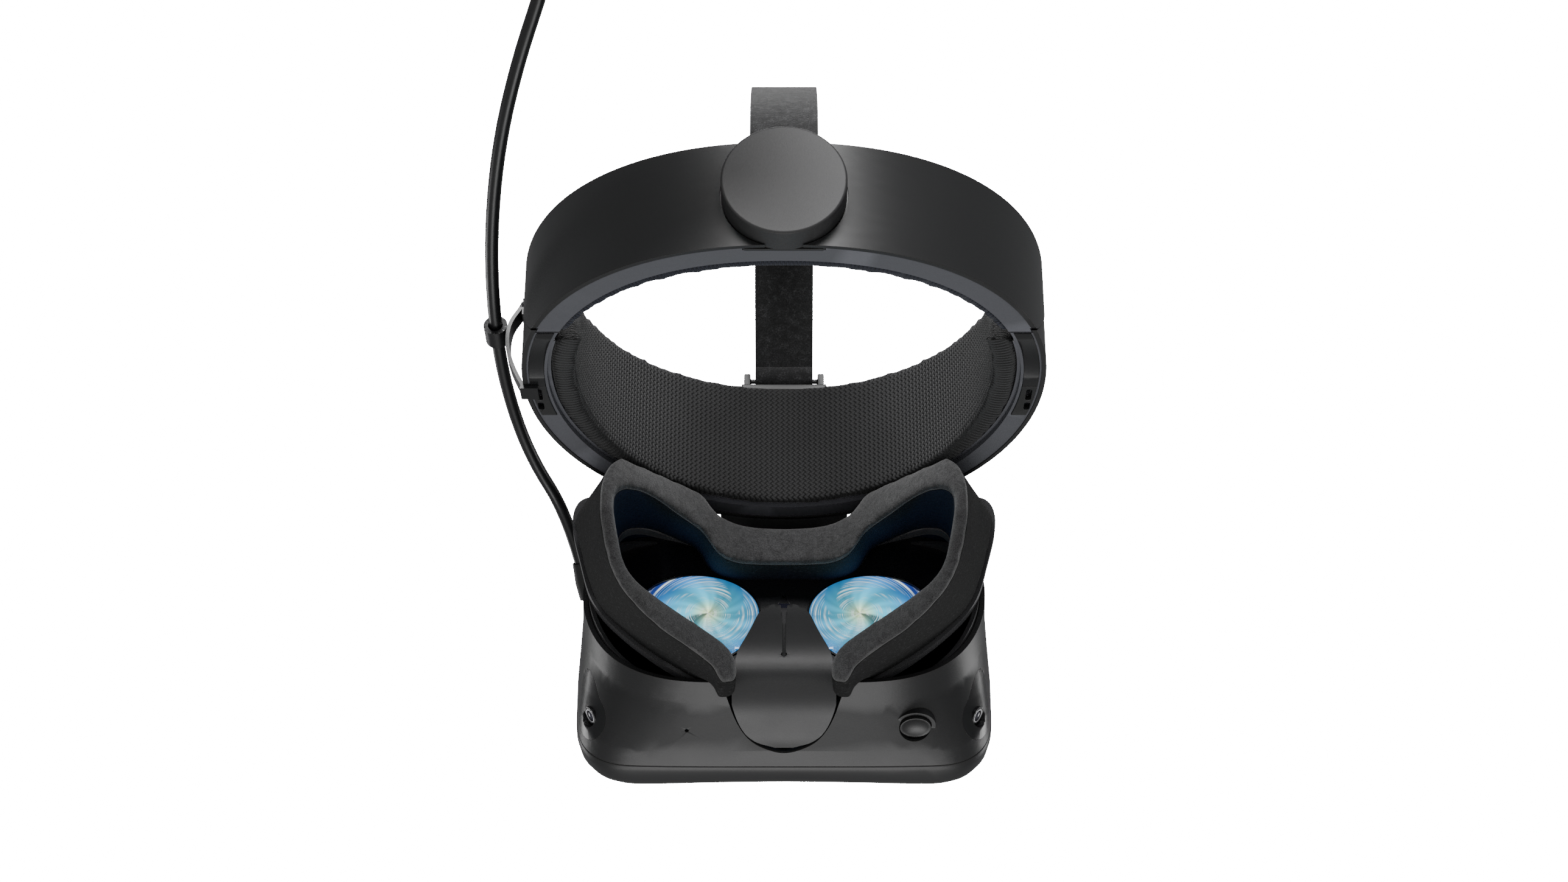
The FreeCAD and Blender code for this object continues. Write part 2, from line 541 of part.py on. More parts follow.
arm = arm.fuse(Part.makeBox(19.0, 6.0, 2.0, V(-9.5, -30.0, 56.8)))

# ---- release button, its spring and the microphone mesh ----
button = cylinder(button_radius, V(button_x, button_y, -42.3), V(0, 0, 1), 4.8)
button = button.cut(Part.makeSphere(16.0, V(button_x, button_y, -42.3 - 14.9)))
button = button.fuse(cylinder(2.3, V(button_x, button_y, -37.8), V(0, 0, 1), 8.0))
button = button.fuse(cylinder(3.6, V(button_x, button_y, -31.4), V(0, 0, 1), 1.4))
spring_wire = 0.35
spring_low = -37.5 + spring_wire
spring_high = -32.5 - spring_wire
helix = Part.makeHelix((spring_high - spring_low) / 3.5, spring_high - spring_low, 4.0)
round_wire = Part.Wire([Part.makeCircle(spring_wire, V(4.0, 0, 0), V(0, 1, 0))])
spring = Part.Wire(helix.Edges).makePipeShell([round_wire], True, True)
spring.translate(V(button_x, button_y, spring_low))
mic = cylinder(0.75, V(mic_spot.x, mic_spot.y, -41.4), V(0, 0, 1), 1.0).fuse(
    Part.makeBox(5, 4, 1.6, V(mic_spot.x - 2.5, mic_spot.y - 2, -39.2)))
mic = mic.fuse(cylinder(0.6, V(mic_spot.x, mic_spot.y, -41.0), V(0, 0, 1), 3.0))

# ---- cord gland on the left side of the visor ----
gland_from = V(83.6, -21.6, 28.7)
gland_to = V(87.6, -8.5, 37.2)
gland_way = gland_to - gland_from
gland_length = gland_way.Length
gland_way.normalize()
gland = cylinder(4.6, gland_from, gland_way, gland_length * 0.45)
gland = gland.fuse(Part.makeCone(4.6, 3.5, gland_length * 0.55, gland_from + gland_way * gland_length * 0.45, gland_way))
gland_seat = cylinder(4.62, gland_from - gland_way * 0.02, gland_way, 30)
housing = housing.cut(gland_seat)
gland = gland.cut(cylinder(cord_radius + 0.4, gland_to - gland_way * 3.4, gland_way, 8))

# ---- face foam, its frame, light tunnel ----
def wrap_slab(front_of, back_of, reach, shoulder_x, shoulder_y):
    xs = [-shoulder_x + 2 * shoulder_x * i / 16 for i in range(17)]
    near = curve([V(x, back_of(x), 0) for x in xs])
    wide = [-reach + 2 * reach * i / 16 for i in range(17)]
    far = curve([V(x, front_of(x), 0) for x in wide])
    corner = [V(shoulder_x, back_of(shoulder_x), 0), V(reach, shoulder_y, 0), V(reach, front_of(reach), 0)]
    sides = []
    for s in (-1, 1):
        spots = [V(s * p.x, p.y, 0) for p in corner]
        for p, q in zip(spots, spots[1:]):
            sides.append(Part.LineSegment(p, q).toShape())
    face = Part.Face(Part.Wire(Part.__sortEdges__([near, far] + sides)))
    face.translate(V(0, 0, -70))
    return push(face, 0, 0, 160)


def face_curve(x):
    return 20.0 + 0.01528 * x * x - 0.000001051 * x ** 4


def base_curve(x):
    return -6.0 + x * x / 370.0


fh = foam_half
top = foam_high
outer_side = [(28.5, -44.5), (29.0, -39.0), (36.0, -33.0), (47.0, -27.0), (57.5, -20.5), (67.5, -13.0), (77.0, -3.0),
              (0.95 * fh, 16.0), (0.99 * fh, 30.0), (fh, 43.0), (0.955 * fh, top - 4.5), (0.86 * fh, top - 0.3), (0.7 * fh, top + 1.2),
              (0.48 * fh, top + 0.6), (36.5, top - 1.6), (32.0, 49.0), (25.5, 44.5), (12.5, 43.0)]
inner_side = [(20.6, -44.5), (20.9, -34.0), (24.4, -24.0), (34.5, -19.0), (46.5, -14.4), (56.5, -9.5), (63.0, -3.0),
              (68.6, 12.0), (70.8, 24.0), (70.9, 33.5), (67.5, 41.5), (60.0, 45.0), (48.0, 43.0), (37.5, 38.0), (33.0, 29.0), (25.5, 23.4), (12.3, 22.9)]


def horseshoe(outer_pts, inner_pts, y0, y1):
    right = [V(x, y0, z) for x, z in outer_pts]
    left = [V(-x, y0, z) for x, z in reversed(outer_pts)]
    out = curve(right + left)
    right_in = [V(x, y0, z) for x, z in inner_pts]
    left_in = [V(-x, y0, z) for x, z in reversed(inner_pts)]
    inn = curve(right_in + left_in)
    foot_a = Part.LineSegment(right[0], right_in[0]).toShape()
    foot_b = Part.LineSegment(left[-1], left_in[-1]).toShape()
    face = Part.Face(Part.Wire(Part.__sortEdges__([out, inn, foot_a, foot_b])))
    return push(face, 0, y1 - y0, 0)


def offset(points, by):
    ends = [(2 * points[0][0] - points[1][0], 2 * points[0][1] - points[1][1])]
    ends += points + [(points[-1][0] - 1.0, points[-1][1])]
    result = []
    for before, (x, z), after in zip(ends, points, ends[2:]):
        dx = after[0] - before[0]
        dz = after[1] - before[1]
        reach = math.hypot(dx, dz)
        result.append((x + by * dz / reach, z - by * dx / reach))
    return result


# where the skins meet at the wearer's face
outer_face = [(26.1, -59.1), (27.0, -52.5), (33.2, -49.2), (44.9, -48.3), (51.9, -46.4), (58.9, -42.9), (66.1, -34.3),
              (70.1, -21.0), (72.4, -6.2), (72.6, 6.9), (70.6, 20.5), (66.4, 27.9), (56.9, 30.8), (47.3, 33.6),
              (37.5, 36.3), (32.0, 32.9), (24.9, 28.9), (12.3, 30.3)]
inner_face = [(19.1, -53.3), (20.4, -42.7), (23.9, -37.0), (33.5, -35.6), (43.0, -34.2), (53.5, -33.1), (60.8, -29.9),
              (65.7, -16.4), (67.9, -3.3), (68.2, 4.7), (66.2, 11.5), (59.5, 16.3), (48.1, 18.2), (37.1, 16.5),
              (32.1, 13.7), (24.1, 7.7), (12.1, 10.6)]


def drafted(outer_base, outer_rim, inner_base, inner_rim, y0, y1):
    wires = []
    for y in (y0, y1):
        edges = []
        rings = []
        for base, rim in ((outer_base, outer_rim), (inner_base, inner_rim)):
            points = []
            for (xa, za), (xb, zb) in zip(base, rim):
                share = (y - base_curve(xa)) / (face_curve(xb) - base_curve(xa))
                points.append(V(xa + (xb - xa) * share, y, za + (zb - za) * share))
            rings.append(points + [V(-p.x, p.y, p.z) for p in reversed(points)])
        edges = [curve(rings[0]), Part.LineSegment(rings[0][-1], rings[1][-1]).toShape(), curve(rings[1]),
                 Part.LineSegment(rings[1][0], rings[0][0]).toShape()]
        wires.append(Part.Wire(Part.__sortEdges__(edges)))
    return Part.makeLoft(wires, True, True)


foam = drafted(outer_side, outer_face, inner_side, inner_face, -12, 76)
foam = foam.common(wrap_slab(base_curve, face_curve, fh + 4, fh + 3, face_curve(fh + 3)))
under_band = Part.makeBox(260, 260, 90, V(-130, -190, band_low - 0.7))
under_band.Placement = visor.inverse().multiply(halo).multiply(under_band.Placement)
foam = foam.cut(under_band)
frame_front = wrap_slab(lambda x: base_curve(x) - 3.5, lambda x: base_curve(x) - 0.02, fh + 6, fh + 3, base_curve(fh + 3))
rim_outer = [(x + 1.0 if x > 40 else x + 0.4, z + (0.8 if z > 10 else -0.8)) for x, z in outer_side]
foam_frame = horseshoe(rim_outer, inner_side, -12, 60).common(frame_front)
behind_frame = wrap_slab(lambda x: base_curve(x) - 3.52, lambda x: 80.0, 120, 100, 90)
leg_cut = Part.makeBox(90, 30, 30, V(-45, -26.5, -64.4))
foam = foam.cut(leg_cut)
foam_frame = foam_frame.cut(leg_cut)
tunnel_side = inner_side[3:]
tunnel = horseshoe(offset(tunnel_side, 2.2), offset(tunnel_side, 0.4), -12.0, 20).cut(behind_frame)

# gloss skirt between the foam frame and the housing
skirt_side = Part.Face(section(rear_half, -14.0, visor_wall + 0.25))
skirt = push(skirt_side, 0, 34, 0).cut(push(Part.Face(section(rear_half, -20.0, visor_wall + 2.05)), 0, 50, 0))
skirt = skirt.cut(behind_frame)
skirt_gap = push(nose_plan(0.2, 40.0), 0, 0, 50)
skirt_gap.translate(V(0, 0, -64))
roof_gap = Part.makeBox(2 * bracket_half + 12, 60, 30, V(-bracket_half - 6, -30, 34))
skirt = skirt.cut(skirt_gap).cut(roof_gap)

# ---- lens plate, lenses, rims, sensor ----
half_ipd = ipd / 2
lens_edge = [(10.6, 3.2), (12.8, 9.6), (19.5, 16.8), (29.0, 21.2), (38.5, 22.5), (49.5, 20.2), (57.5, 14.6), (61.0, 5.0),
             (58.6, -6.0), (50.5, -15.4), (39.5, -21.4), (29.5, -22.6), (20.5, -19.2), (13.6, -9.0)]


def lens_face(grow_by, y, side):
    points = []
    for x, z in lens_edge:
        dx = x - half_ipd
        reach = math.hypot(dx, z)
        k = (reach + grow_by) / reach
        points.append(V(side * (half_ipd + dx * k), y, z * k))
    return Part.Face(Part.Wire([curve(points, True)]))


tunnel_hull = [(x, z) for x, z in inner_side[2:]]
plate_points = [V(x, -4.0, z) for x, z in tunnel_hull] + [V(-x, -4.0, z) for x, z in reversed(tunnel_hull)]
plate_wire = Part.Wire(Part.__sortEdges__([curve(plate_points), Part.LineSegment(plate_points[-1], plate_points[0]).toShape()]))
plate = push(Part.Face(plate_wire), 0, 2.5, 0)
lenses = {}
rims = []
for side in (1, -1):
    plate = plate.cut(push(lens_face(0.9, -8, side), 0, 12, 0))
    disc = push(lens_face(0.0, -7.0, side), 0, 10, 0)
    dome = Part.makeSphere(120.0, V(side * half_ipd, -118.6, 0))
    hollow = Part.makeSphere(160.0, V(side * half_ipd, -166.0, 0))
    lenses[side] = disc.common(dome).cut(hollow)
    rims.append(push(lens_face(0.88, -4.6, side), 0, 4.0, 0).cut(push(lens_face(0.02, -9, side), 0, 20, 0)))
sensor_z = 6.6
for side in (1, -1):
    lens_room = push(lens_face(1.3, -14.0, side), 0, 17.5, 0)
    foam = foam.cut(lens_room)
    foam_frame = foam_frame.cut(lens_room)
    tunnel = tunnel.cut(lens_room)
window = Part.makeBox(4.0, 1.4, 2.4, V(-2.0, -2.9, sensor_z - 1.2))
for end in (-1, 1):
    window = window.fuse(cylinder(1.2, V(end * 2.0, -2.9, sensor_z), V(0, 1, 0), 1.4))
plate = plate.cut(window.copy())
plate = plate.cut(cylinder(0.8, V(0, -6, 11.6), V(0, 1, 0), 8))

# ---- display, boards and light shields behind the lenses ----
display = Part.makeBox(124.0, 2.4, 66.0, V(-62.0, -48.0, -32.0))
display_frame = Part.makeBox(132.0, 5.4, 74.0, V(-66.0, -49.6, -36.0)).cut(
    Part.makeBox(124.1, 3.0, 66.1, V(-62.05, -48.02, -32.05))).cut(Part.makeBox(116.0, 12.0, 58.0, V(-58.0, -47.0, -28.0)))
board = Part.makeBox(104.0, 1.6, 60.0, V(-52.0, -53.2, -27.0))
chips = [Part.makeBox(14, 1.4, 14, V(-30, -54.6, 4)), Part.makeBox(10, 1.2, 10, V(12, -54.4, -10)), Part.makeBox(20, 2.6, 8, V(28, -55.8, 14))]
board = board.fuse(chips)
shields = []
for side in (1, -1):
    near = lens_face(-0.6, -8.2, side).OuterWire
    far_pts = [V(side * (half_ipd + (x - half_ipd) * 1.05), -44.0, z * 1.12) for x, z in lens_edge]
    far = Part.Wire([curve(far_pts, True)])
    near_out = lens_face(0.6, -8.2, side).OuterWire
    far_out_pts = [V(side * (half_ipd + (x - half_ipd) * 1.10), -44.0, z * 1.17) for x, z in lens_edge]
    far_out = Part.Wire([curve(far_out_pts, True)])
    cone = Part.makeLoft([near_out, far_out], True, True).cut(Part.makeLoft([near, far], True, True))
    shields.append(cone)

# ---- rubber nose flap: an upright face that turns under the visor ----
flap_path = [(1.2, 5.2), (2.0, -4.0), (3.4, -15.0), (3.6, -26.0), (0.6, -34.5), (-7.0, -39.6), (-18.0, -41.9), (-32.0, -44.2)]
sheet = ribbon(flap_path, rubber_thick, 26.0)
front_shape = [(0.9, 3.4), (3.4, 4.6), (6.6, 3.6), (9.8, 0.6), (12.2, -5.0), (16.2, -16.0), (19.3, -24.0), (20.4, -31.0), (21.4, -39.0)]
right = [V(x, -60, z) for x, z in front_shape]
left = [V(-x, -60, z) for x, z in reversed(front_shape)]
outline = [curve(right), Part.LineSegment(right[-1], V(21.4, -60, -60)).toShape(),
           Part.LineSegment(V(21.4, -60, -60), V(-21.4, -60, -60)).toShape(),
           Part.LineSegment(V(-21.4, -60, -60), left[0]).toShape(), curve(left), Part.LineSegment(left[-1], right[0]).toShape()]
front_zone = push(Part.Face(Part.Wire(Part.__sortEdges__(outline))), 0, 90, 0)
plan_zone = nose_plan(-1.3, 20.0)
plan_zone.translate(V(0, 0, -60))
plan_zone = push(plan_zone, 0, 0, 80)
jack_room = cylinder(3.7, V(visor_half_rear - 17.0, jack_y, jack_z), V(1, 0, 0), 30)
skirt = skirt.cut(jack_room)
tunnel = tunnel.cut(jack_room)
skirt = skirt.cut(tunnel).cut(plate)
foam = foam.cut(plate)
foam_frame = foam_frame.cut(plate)
flap = sheet.common(front_zone).common(plan_zone)
slit = Part.makeBox(1.5, 40, 27.0, V(-0.75, -10, -24.5))
slit = slit.fuse(Part.makeBox(2.6, 40, 12.0, V(-1.3, -10, -2.2)))
slit = slit.fuse(cylinder(1.2, V(0, -10, -24.5), V(0, 1, 0), 40))
slit = slit.cut(Part.makeBox(40, 60, 60, V(-20, -30, -90)))
flap = flap.cut(slit.common(Part.makeBox(40, 9.0, 60, V(-20, -2.0, -30))))
foam_frame = foam_frame.cut(plan_zone)
housing = housing.cut(Part.makeBox(152, 14.5, 30, V(-76, -11.0, 34)))
for name, piece in (("foam", foam), ("frame", foam_frame), ("tunnel", tunnel), ("skirt", skirt), ("rail", rail)):
    both = housing.common(piece)
    print("housing against", name, round(both.Volume, 1), piece.isValid())
    if both.Volume > 1.0:
        housing = housing.cut(piece)
save("visor_housing", housing, visor)
save("visor_front_cover", front_cover, visor)
save("camera_panels", Part.makeCompound([panel_left, flip(panel_left)]), visor)
save("camera_bodies", Part.makeCompound(cam_bodies), visor)
save("camera_glass", Part.makeCompound(cam_glass), visor)
save("headphone_jack", jack, visor)
save("visor_rail", rail, visor)
save("visor_arm", arm, visor)
save("release_button", button, visor)
save("button_spring", spring, visor)
save("microphone", mic, visor)
save("cord_gland", gland, visor)
save("face_foam", foam, visor)
save("foam_frame", foam_frame, visor)
save("light_tunnel", tunnel, visor)
save("visor_skirt", skirt, visor)
save("lens_plate", plate, visor)
save("lens_left", lenses[1], visor)
save("lens_right", lenses[-1], visor)
save("lens_rims", Part.makeCompound(rims), visor)
save("proximity_window", window, visor)
save("display_panel", display, visor)
save("display_frame", display_frame, visor)
save("main_board", board, visor)
save("light_shields", Part.makeCompound(shields), visor)
save("nose_flap", flap, visor)


# ---- cord: straight runs joined by tangent arcs ----
def cord_wire(points):
    edges = []
    start = points[0]
    radii = []
    for i in range(1, len(points) - 1):
        a, b, c = points[i - 1], points[i], points[i + 1]
        u = (a - b)
        v = (c - b)
        short = min(u.Length, v.Length)
        u.normalize()
        v.normalize()
        half = (math.pi - u.getAngle(v)) / 2
        cut = 0.45 * short
        radius = cut / math.tan(half)
        radii.append(round(radius, 1))
        enter = b + u * cut
        leave = b + v * cut
        middle = u + v
        middle.normalize()
        centre = b + middle * (radius / math.cos(half))
        way = b - centre
        way.normalize()
        edges.append(Part.LineSegment(start, enter).toShape())
        edges.append(Part.Arc(enter, centre + way * radius, leave).toShape())
        start = leave
    edges.append(Part.LineSegment(start, points[-1]).toShape())
    return Part.Wire(edges), radii


def cord(points, radius):
    wire, radii = cord_wire(points)
    way = points[1] - points[0]
    way.normalize()
    circle = Part.Wire([Part.makeCircle(radius, points[0], way)])
    solid = wire.makePipeShell([circle], True, False)
    print("cord length", round(wire.Length, 1), "radii", radii, "volume", round(solid.Volume),
          "section times length", round(math.pi * radius * radius * wire.Length))
    return solid


cord_start = visor.multVec(gland_to - gland_way * 3.0)
coil_centre = V(38.0, 244.0, 0.0)
cord_points = [cord_start, V(93.3, -106.5, 12.0), V(106.2, -73.0, 12.5), V(112.6, -30.0, 8.2), V(113.7, 14.0, 2.2),
               V(111.6, 58.0, 0.7), V(105.2, 104.0, 0.0), V(94.6, 145.5, 0.0), V(80.5, 186.0, 0.0), V(78.0, 237.0, 0.0)]
cord_tube = cord(cord_points, cord_radius)
save("cord_tube", cord_tube, world)
coil = Part.makeTorus(coil_ring, coil_bundle, coil_centre, V(0, 0, 1))
coil_tie = cylinder(coil_bundle + 1.6, coil_centre + V(-coil_ring, -6.5, 0), V(0, 1, 0), 13.0)
coil_tie = coil_tie.cut(coil)
save("cord_coil", coil, world)
save("coil_tie", coil_tie, world)

# splitter and the two plugs lying on the coil
top_z = coil_centre.z + coil_bundle + 4.2
splitter = Part.makeBox(24.0, 22.0, 9.0, V(coil_centre.x + 26.0, coil_centre.y - 11.0, top_z - 4.5))
splitter = splitter.makeFillet(2.5, splitter.Edges).cut(coil)
save("cord_splitter", splitter, world)
plug_shapes = []
for name, offset, body_size, tongue in (("video", -10.5, (26.0, 18.5, 9.0), (11.5, 16.1, 4.8)),
                                        ("usb", 10.5, (24.0, 15.0, 8.0), (12.0, 12.1, 4.5))):
    y = coil_centre.y + offset
    x = coil_centre.x + 4.0
    tail_way = V(x - coil_centre.x - 26.6, offset * 0.45, 0)
    tail_from = V(coil_centre.x + 26.6, y - offset * 0.45, top_z)
    tail_piece = cylinder(tail_radius, tail_from, tail_way, tail_way.Length)
    relief = Part.makeCone(3.4, 2.4, 8.0, V(x, y, top_z), V(1, 0, 0))
    shell = Part.makeBox(body_size[0], body_size[1], body_size[2], V(x - body_size[0], y - body_size[1] / 2, top_z - body_size[2] / 2))
    shell = shell.makeFillet(1.8, [e for e in shell.Edges if e.BoundBox.XLength > 5]).fuse(relief)
    tongue_shape = Part.makeBox(tongue[0], tongue[1], tongue[2], V(x - body_size[0] - tongue[0], y - tongue[1] / 2, top_z - tongue[2] / 2))
    hollow = Part.makeBox(tongue[0] - 1.0, tongue[1] - 0.9, tongue[2] - 0.9,
                          V(x - body_size[0] - tongue[0], y - tongue[1] / 2 + 0.45, top_z - tongue[2] / 2 + 0.45))
    blade = Part.makeBox(tongue[0] - 2.0, tongue[1] - 3.4, 1.3, V(x - body_size[0] - tongue[0] + 1.5, y - tongue[1] / 2 + 1.7, top_z - 0.65))
    tongue_shape = tongue_shape.cut(hollow).fuse(blade)
    save("tail_" + name, tail_piece.cut(shell).cut(splitter), world)
    save("plug_" + name, shell, world)
    save("plug_" + name + "_metal", tongue_shape, world)

# ---- cable clip on the left arm ----
clip_width = 9.0
clip_y = 5.0
clip_path = [(102.2, 17.5), (103.4, 13.0), (106.6, 7.4), (108.2, 0.0), (107.0, -9.0), (103.9, -17.0), (101.0, -22.4)]
spine = Part.BSplineCurve()
spine.interpolate([V(x, clip_y, z) for x, z in clip_path])
near_side = []
far_side = []
for i in range(21):
    t = spine.FirstParameter + (spine.LastParameter - spine.FirstParameter) * i / 20
    p = spine.value(t)
    tangent = spine.tangent(t)[0]
    normal = V(-tangent.z, 0, tangent.x)
    near_side.append(p + normal * 0.75)
    far_side.append(p - normal * 0.75)
clip_edges = [curve(near_side), Part.LineSegment(near_side[-1], far_side[-1]).toShape(), curve(far_side),
              Part.LineSegment(far_side[0], near_side[0]).toShape()]
clip = push(Part.Face(Part.Wire(Part.__sortEdges__(clip_edges))), 0, clip_width, 0)
clip = clip.fuse(Part.makeBox(3.0, clip_width, 8.0, V(100.0, clip_y, 9.6)))
clip = clip.fuse(Part.makeBox(7.0, clip_width, 1.5, V(95.4, clip_y, band_low - 1.6)))
band_blank = push(loop_face(loop(-0.12), band_low - 0.08), 0, 0, 60)
clip = clip.cut(band_blank)
slider = rear_tool.copy()
slider.translate(V(0, -1.2, 0))
clip = clip.cut(ring(loop(-2.2), loop(3.0), -40, 60).common(slider))
ring_spot = halo.inverse().multVec(V(113.25, 5.0, 3.5))
ring_way = halo.inverse().multVec(V(1.0, 44.0, -6.0))
ring_way.normalize()
collar = cylinder(4.7, ring_spot - ring_way * 1.0, ring_way, 9.0)
neck = Part.makeBox(6.0, 8.0, 3.0, V(107.6, ring_spot.y - 0.6, ring_spot.z - 1.4))
clip = clip.fuse([collar, neck])
cord_in_halo = cord_tube.copy()
cord_in_halo.Placement = halo.inverse().multiply(cord_in_halo.Placement)
clip = clip.cut(cylinder(cord_radius + 0.3, ring_spot - ring_way * 4.0, ring_way, 18.0))
print("clip over cord", round(clip.common(cord_in_halo).Volume, 2), "clip over shell", round(clip.common(band_shell).Volume, 2))
save("cable_clip", clip, halo)
print(len(made), "nodes")
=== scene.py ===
import bpy
import math
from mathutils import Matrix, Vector


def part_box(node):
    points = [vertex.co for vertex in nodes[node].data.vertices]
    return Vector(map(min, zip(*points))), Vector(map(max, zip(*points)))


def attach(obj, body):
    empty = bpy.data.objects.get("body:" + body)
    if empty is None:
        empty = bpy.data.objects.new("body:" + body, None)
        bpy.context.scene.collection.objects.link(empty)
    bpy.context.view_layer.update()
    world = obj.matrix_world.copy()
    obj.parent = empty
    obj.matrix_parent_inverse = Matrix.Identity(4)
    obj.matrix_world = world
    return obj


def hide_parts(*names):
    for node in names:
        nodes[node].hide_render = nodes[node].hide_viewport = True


# ---- frame, camera, floor and lights ----
# The headset hangs in the frame as worn: wearer's left +X, up +Z, the back of the head +Y.
# The camera looks up at it from behind and below; pale floor, soft boxes all round.
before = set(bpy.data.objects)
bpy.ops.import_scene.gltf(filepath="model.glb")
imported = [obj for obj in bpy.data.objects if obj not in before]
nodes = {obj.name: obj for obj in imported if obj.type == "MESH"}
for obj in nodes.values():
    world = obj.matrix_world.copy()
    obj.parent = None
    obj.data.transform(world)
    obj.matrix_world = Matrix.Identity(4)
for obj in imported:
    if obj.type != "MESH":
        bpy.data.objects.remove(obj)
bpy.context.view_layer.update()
EYE = Vector((0.0, -0.1165, -0.0373))          # midway between the lens centres
TILT = math.radians(16.6)                      # the head band falls towards the back
BAND_Y = Vector((0.0, math.cos(TILT), -math.sin(TILT)))
BAND_Z = Vector((0.0, math.sin(TILT), math.cos(TILT)))
EYE_SPAN = 0.0635


def alone(*objects):
    """Select only these objects, the last one active."""
    bpy.ops.object.select_all(action="DESELECT")
    for o in objects:
        o.select_set(True)
        bpy.context.view_layer.objects.active = o


alone()
look_up = math.radians(44.0)                   # how far the camera looks up from level
camera_turn = look_up + math.pi / 2.0
bpy.ops.object.camera_add(location=(0.0, 0.7211, -0.7448), rotation=(camera_turn, 0.0, math.pi))
camera = bpy.context.object
camera.name = "camera"
camera.data.sensor_width = 36.0
camera.data.lens = 60.09
camera.data.clip_start = 0.05
camera.data.clip_end = 40.0
bpy.context.scene.camera = camera

floor_z = -1.35
bpy.ops.mesh.primitive_plane_add(size=14.0, location=(0.0, 0.0, floor_z))
floor = bpy.context.object
floor.name = "floor"
view_right = Vector((-1.0, 0.0, 0.0))
view_up = Vector((0.0, math.sin(look_up), math.cos(look_up)))
view_in = Vector((0.0, -math.cos(look_up), math.sin(look_up)))
lit_point = Vector((0.0, -0.04, -0.01))


def softbox(name, right, up, near, width, height, power):
    """A soft box placed right of, above and nearer than the headset, facing it."""
    place = view_right * right + view_up * up - view_in * near + lit_point
    bpy.ops.object.light_add(type="AREA", location=place)
    lamp = bpy.context.object
    lamp.name = name
    lamp.data.shape = "RECTANGLE"
    lamp.data.size = width
    lamp.data.size_y = height
    lamp.data.energy = power
    lamp.rotation_euler = (lit_point - place).to_track_quat("-Z", "Y").to_euler()


softbox("key_box", 0.0, 1.2, 0.80, 0.6, 0.6, 26.0)
softbox("front_box", 0.0, 0.1, 1.6, 1.6, 0.7, 1.6)
softbox("under_box", 0.0, -1.3, 0.15, 0.7, 0.4, 4.0)
softbox("left_box", -1.05, -0.42, -0.65, 0.3, 0.5, 2.2)
softbox("right_box", 1.05, -0.42, -0.65, 0.3, 0.5, 2.2)
softbox("top_box", 0.0, 0.9, -1.0, 1.0, 0.5, 7.0)

world = bpy.data.worlds.new("pale_room")
bpy.context.scene.world = world
world.use_nodes = True
tree = world.node_tree
tree.nodes.clear()
rays = tree.nodes.new("ShaderNodeLightPath")
seen = tree.nodes.new("ShaderNodeBackground")
seen.inputs["Strength"].default_value = 30.0
felt = tree.nodes.new("ShaderNodeBackground")
felt.inputs["Color"].default_value = (0.97, 0.98, 1.0, 1.0)
felt.inputs["Strength"].default_value = 0.22
either = tree.nodes.new("ShaderNodeMixShader")
sky = tree.nodes.new("ShaderNodeOutputWorld")
tree.links.new(rays.outputs["Is Camera Ray"], either.inputs["Fac"])
tree.links.new(felt.outputs["Background"], either.inputs[1])
tree.links.new(seen.outputs["Background"], either.inputs[2])
tree.links.new(either.outputs["Shader"], sky.inputs["Surface"])


def plain_material(name, colour, roughness, **more):
    """A principled material with constants on the shader's own sockets."""
    material = bpy.data.materials.new(name)
    material.use_nodes = True
    shader = material.node_tree.nodes["Principled BSDF"]
    shader.inputs["Base Color"].default_value = (*colour, 1.0)
    shader.inputs["Roughness"].default_value = roughness
    for key, value in more.items():
        shader.inputs[key.replace("_", " ")].default_value = value
    return material


def new_group(name, inputs, outputs):
    """An empty shader node group; inputs and outputs are (name, kind, value) and (name, kind)."""
    group = bpy.data.node_groups.new(name, "ShaderNodeTree")
    for label, kind, value in inputs:
        socket = group.interface.new_socket(label, in_out="INPUT", socket_type="NodeSocket" + kind)
        if value is not None:
            socket.default_value = value
    for label, kind in outputs:
        group.interface.new_socket(label, in_out="OUTPUT", socket_type="NodeSocket" + kind)
    return group, group.nodes.new("NodeGroupInput"), group.nodes.new("NodeGroupOutput")


def step(tree, kind, links=(), **values):
    """Add a node, set its properties and sockets, and link sockets into it."""
    made = tree.nodes.new("ShaderNode" + kind)
    for key, value in values.items():
        if hasattr(made, key):
            setattr(made, key, value)
        else:
            made.inputs[key.replace("_", " ")].default_value = value
    for socket, source in links:
        tree.links.new(source, made.inputs[socket])
    return made


def sums(tree, operation, first, second=None):
    """A math node of two values, each a socket or a number."""
    made = tree.nodes.new("ShaderNodeMath")
    made.operation = operation
    for i, value in enumerate((first, second)):
        if value is None:
            continue
        if hasattr(value, "is_linked"):
            tree.links.new(value, made.inputs[i])
        else:
            made.inputs[i].default_value = value
    return made.outputs["Value"]


# the studio floor is pale painted board, faintly uneven
floor_paint = plain_material("floor_paint", (0.86, 0.86, 0.85), 0.6)
tree = floor_paint.node_tree
spots = step(tree, "TexNoise", [("Vector", step(tree, "TexCoord").outputs["Object"])], Scale=1.5, Detail=3.0)
tone = step(tree, "ValToRGB", [("Fac", spots.outputs["Fac"])])
tone.color_ramp.elements[0].color = (0.84, 0.84, 0.83, 1.0)
tone.color_ramp.elements[1].color = (0.88, 0.88, 0.87, 1.0)
tree.links.new(tone.outputs["Color"], tree.nodes["Principled BSDF"].inputs["Base Color"])
floor.data.materials.append(floor_paint)

# ---- headset cord ----
# A satin black polymer jacket, 5.2 mm thick, leaves the wearer's left side of the visor, is held
# by a clip on the head band and falls behind. What is spare is wound in a coil with a tie.


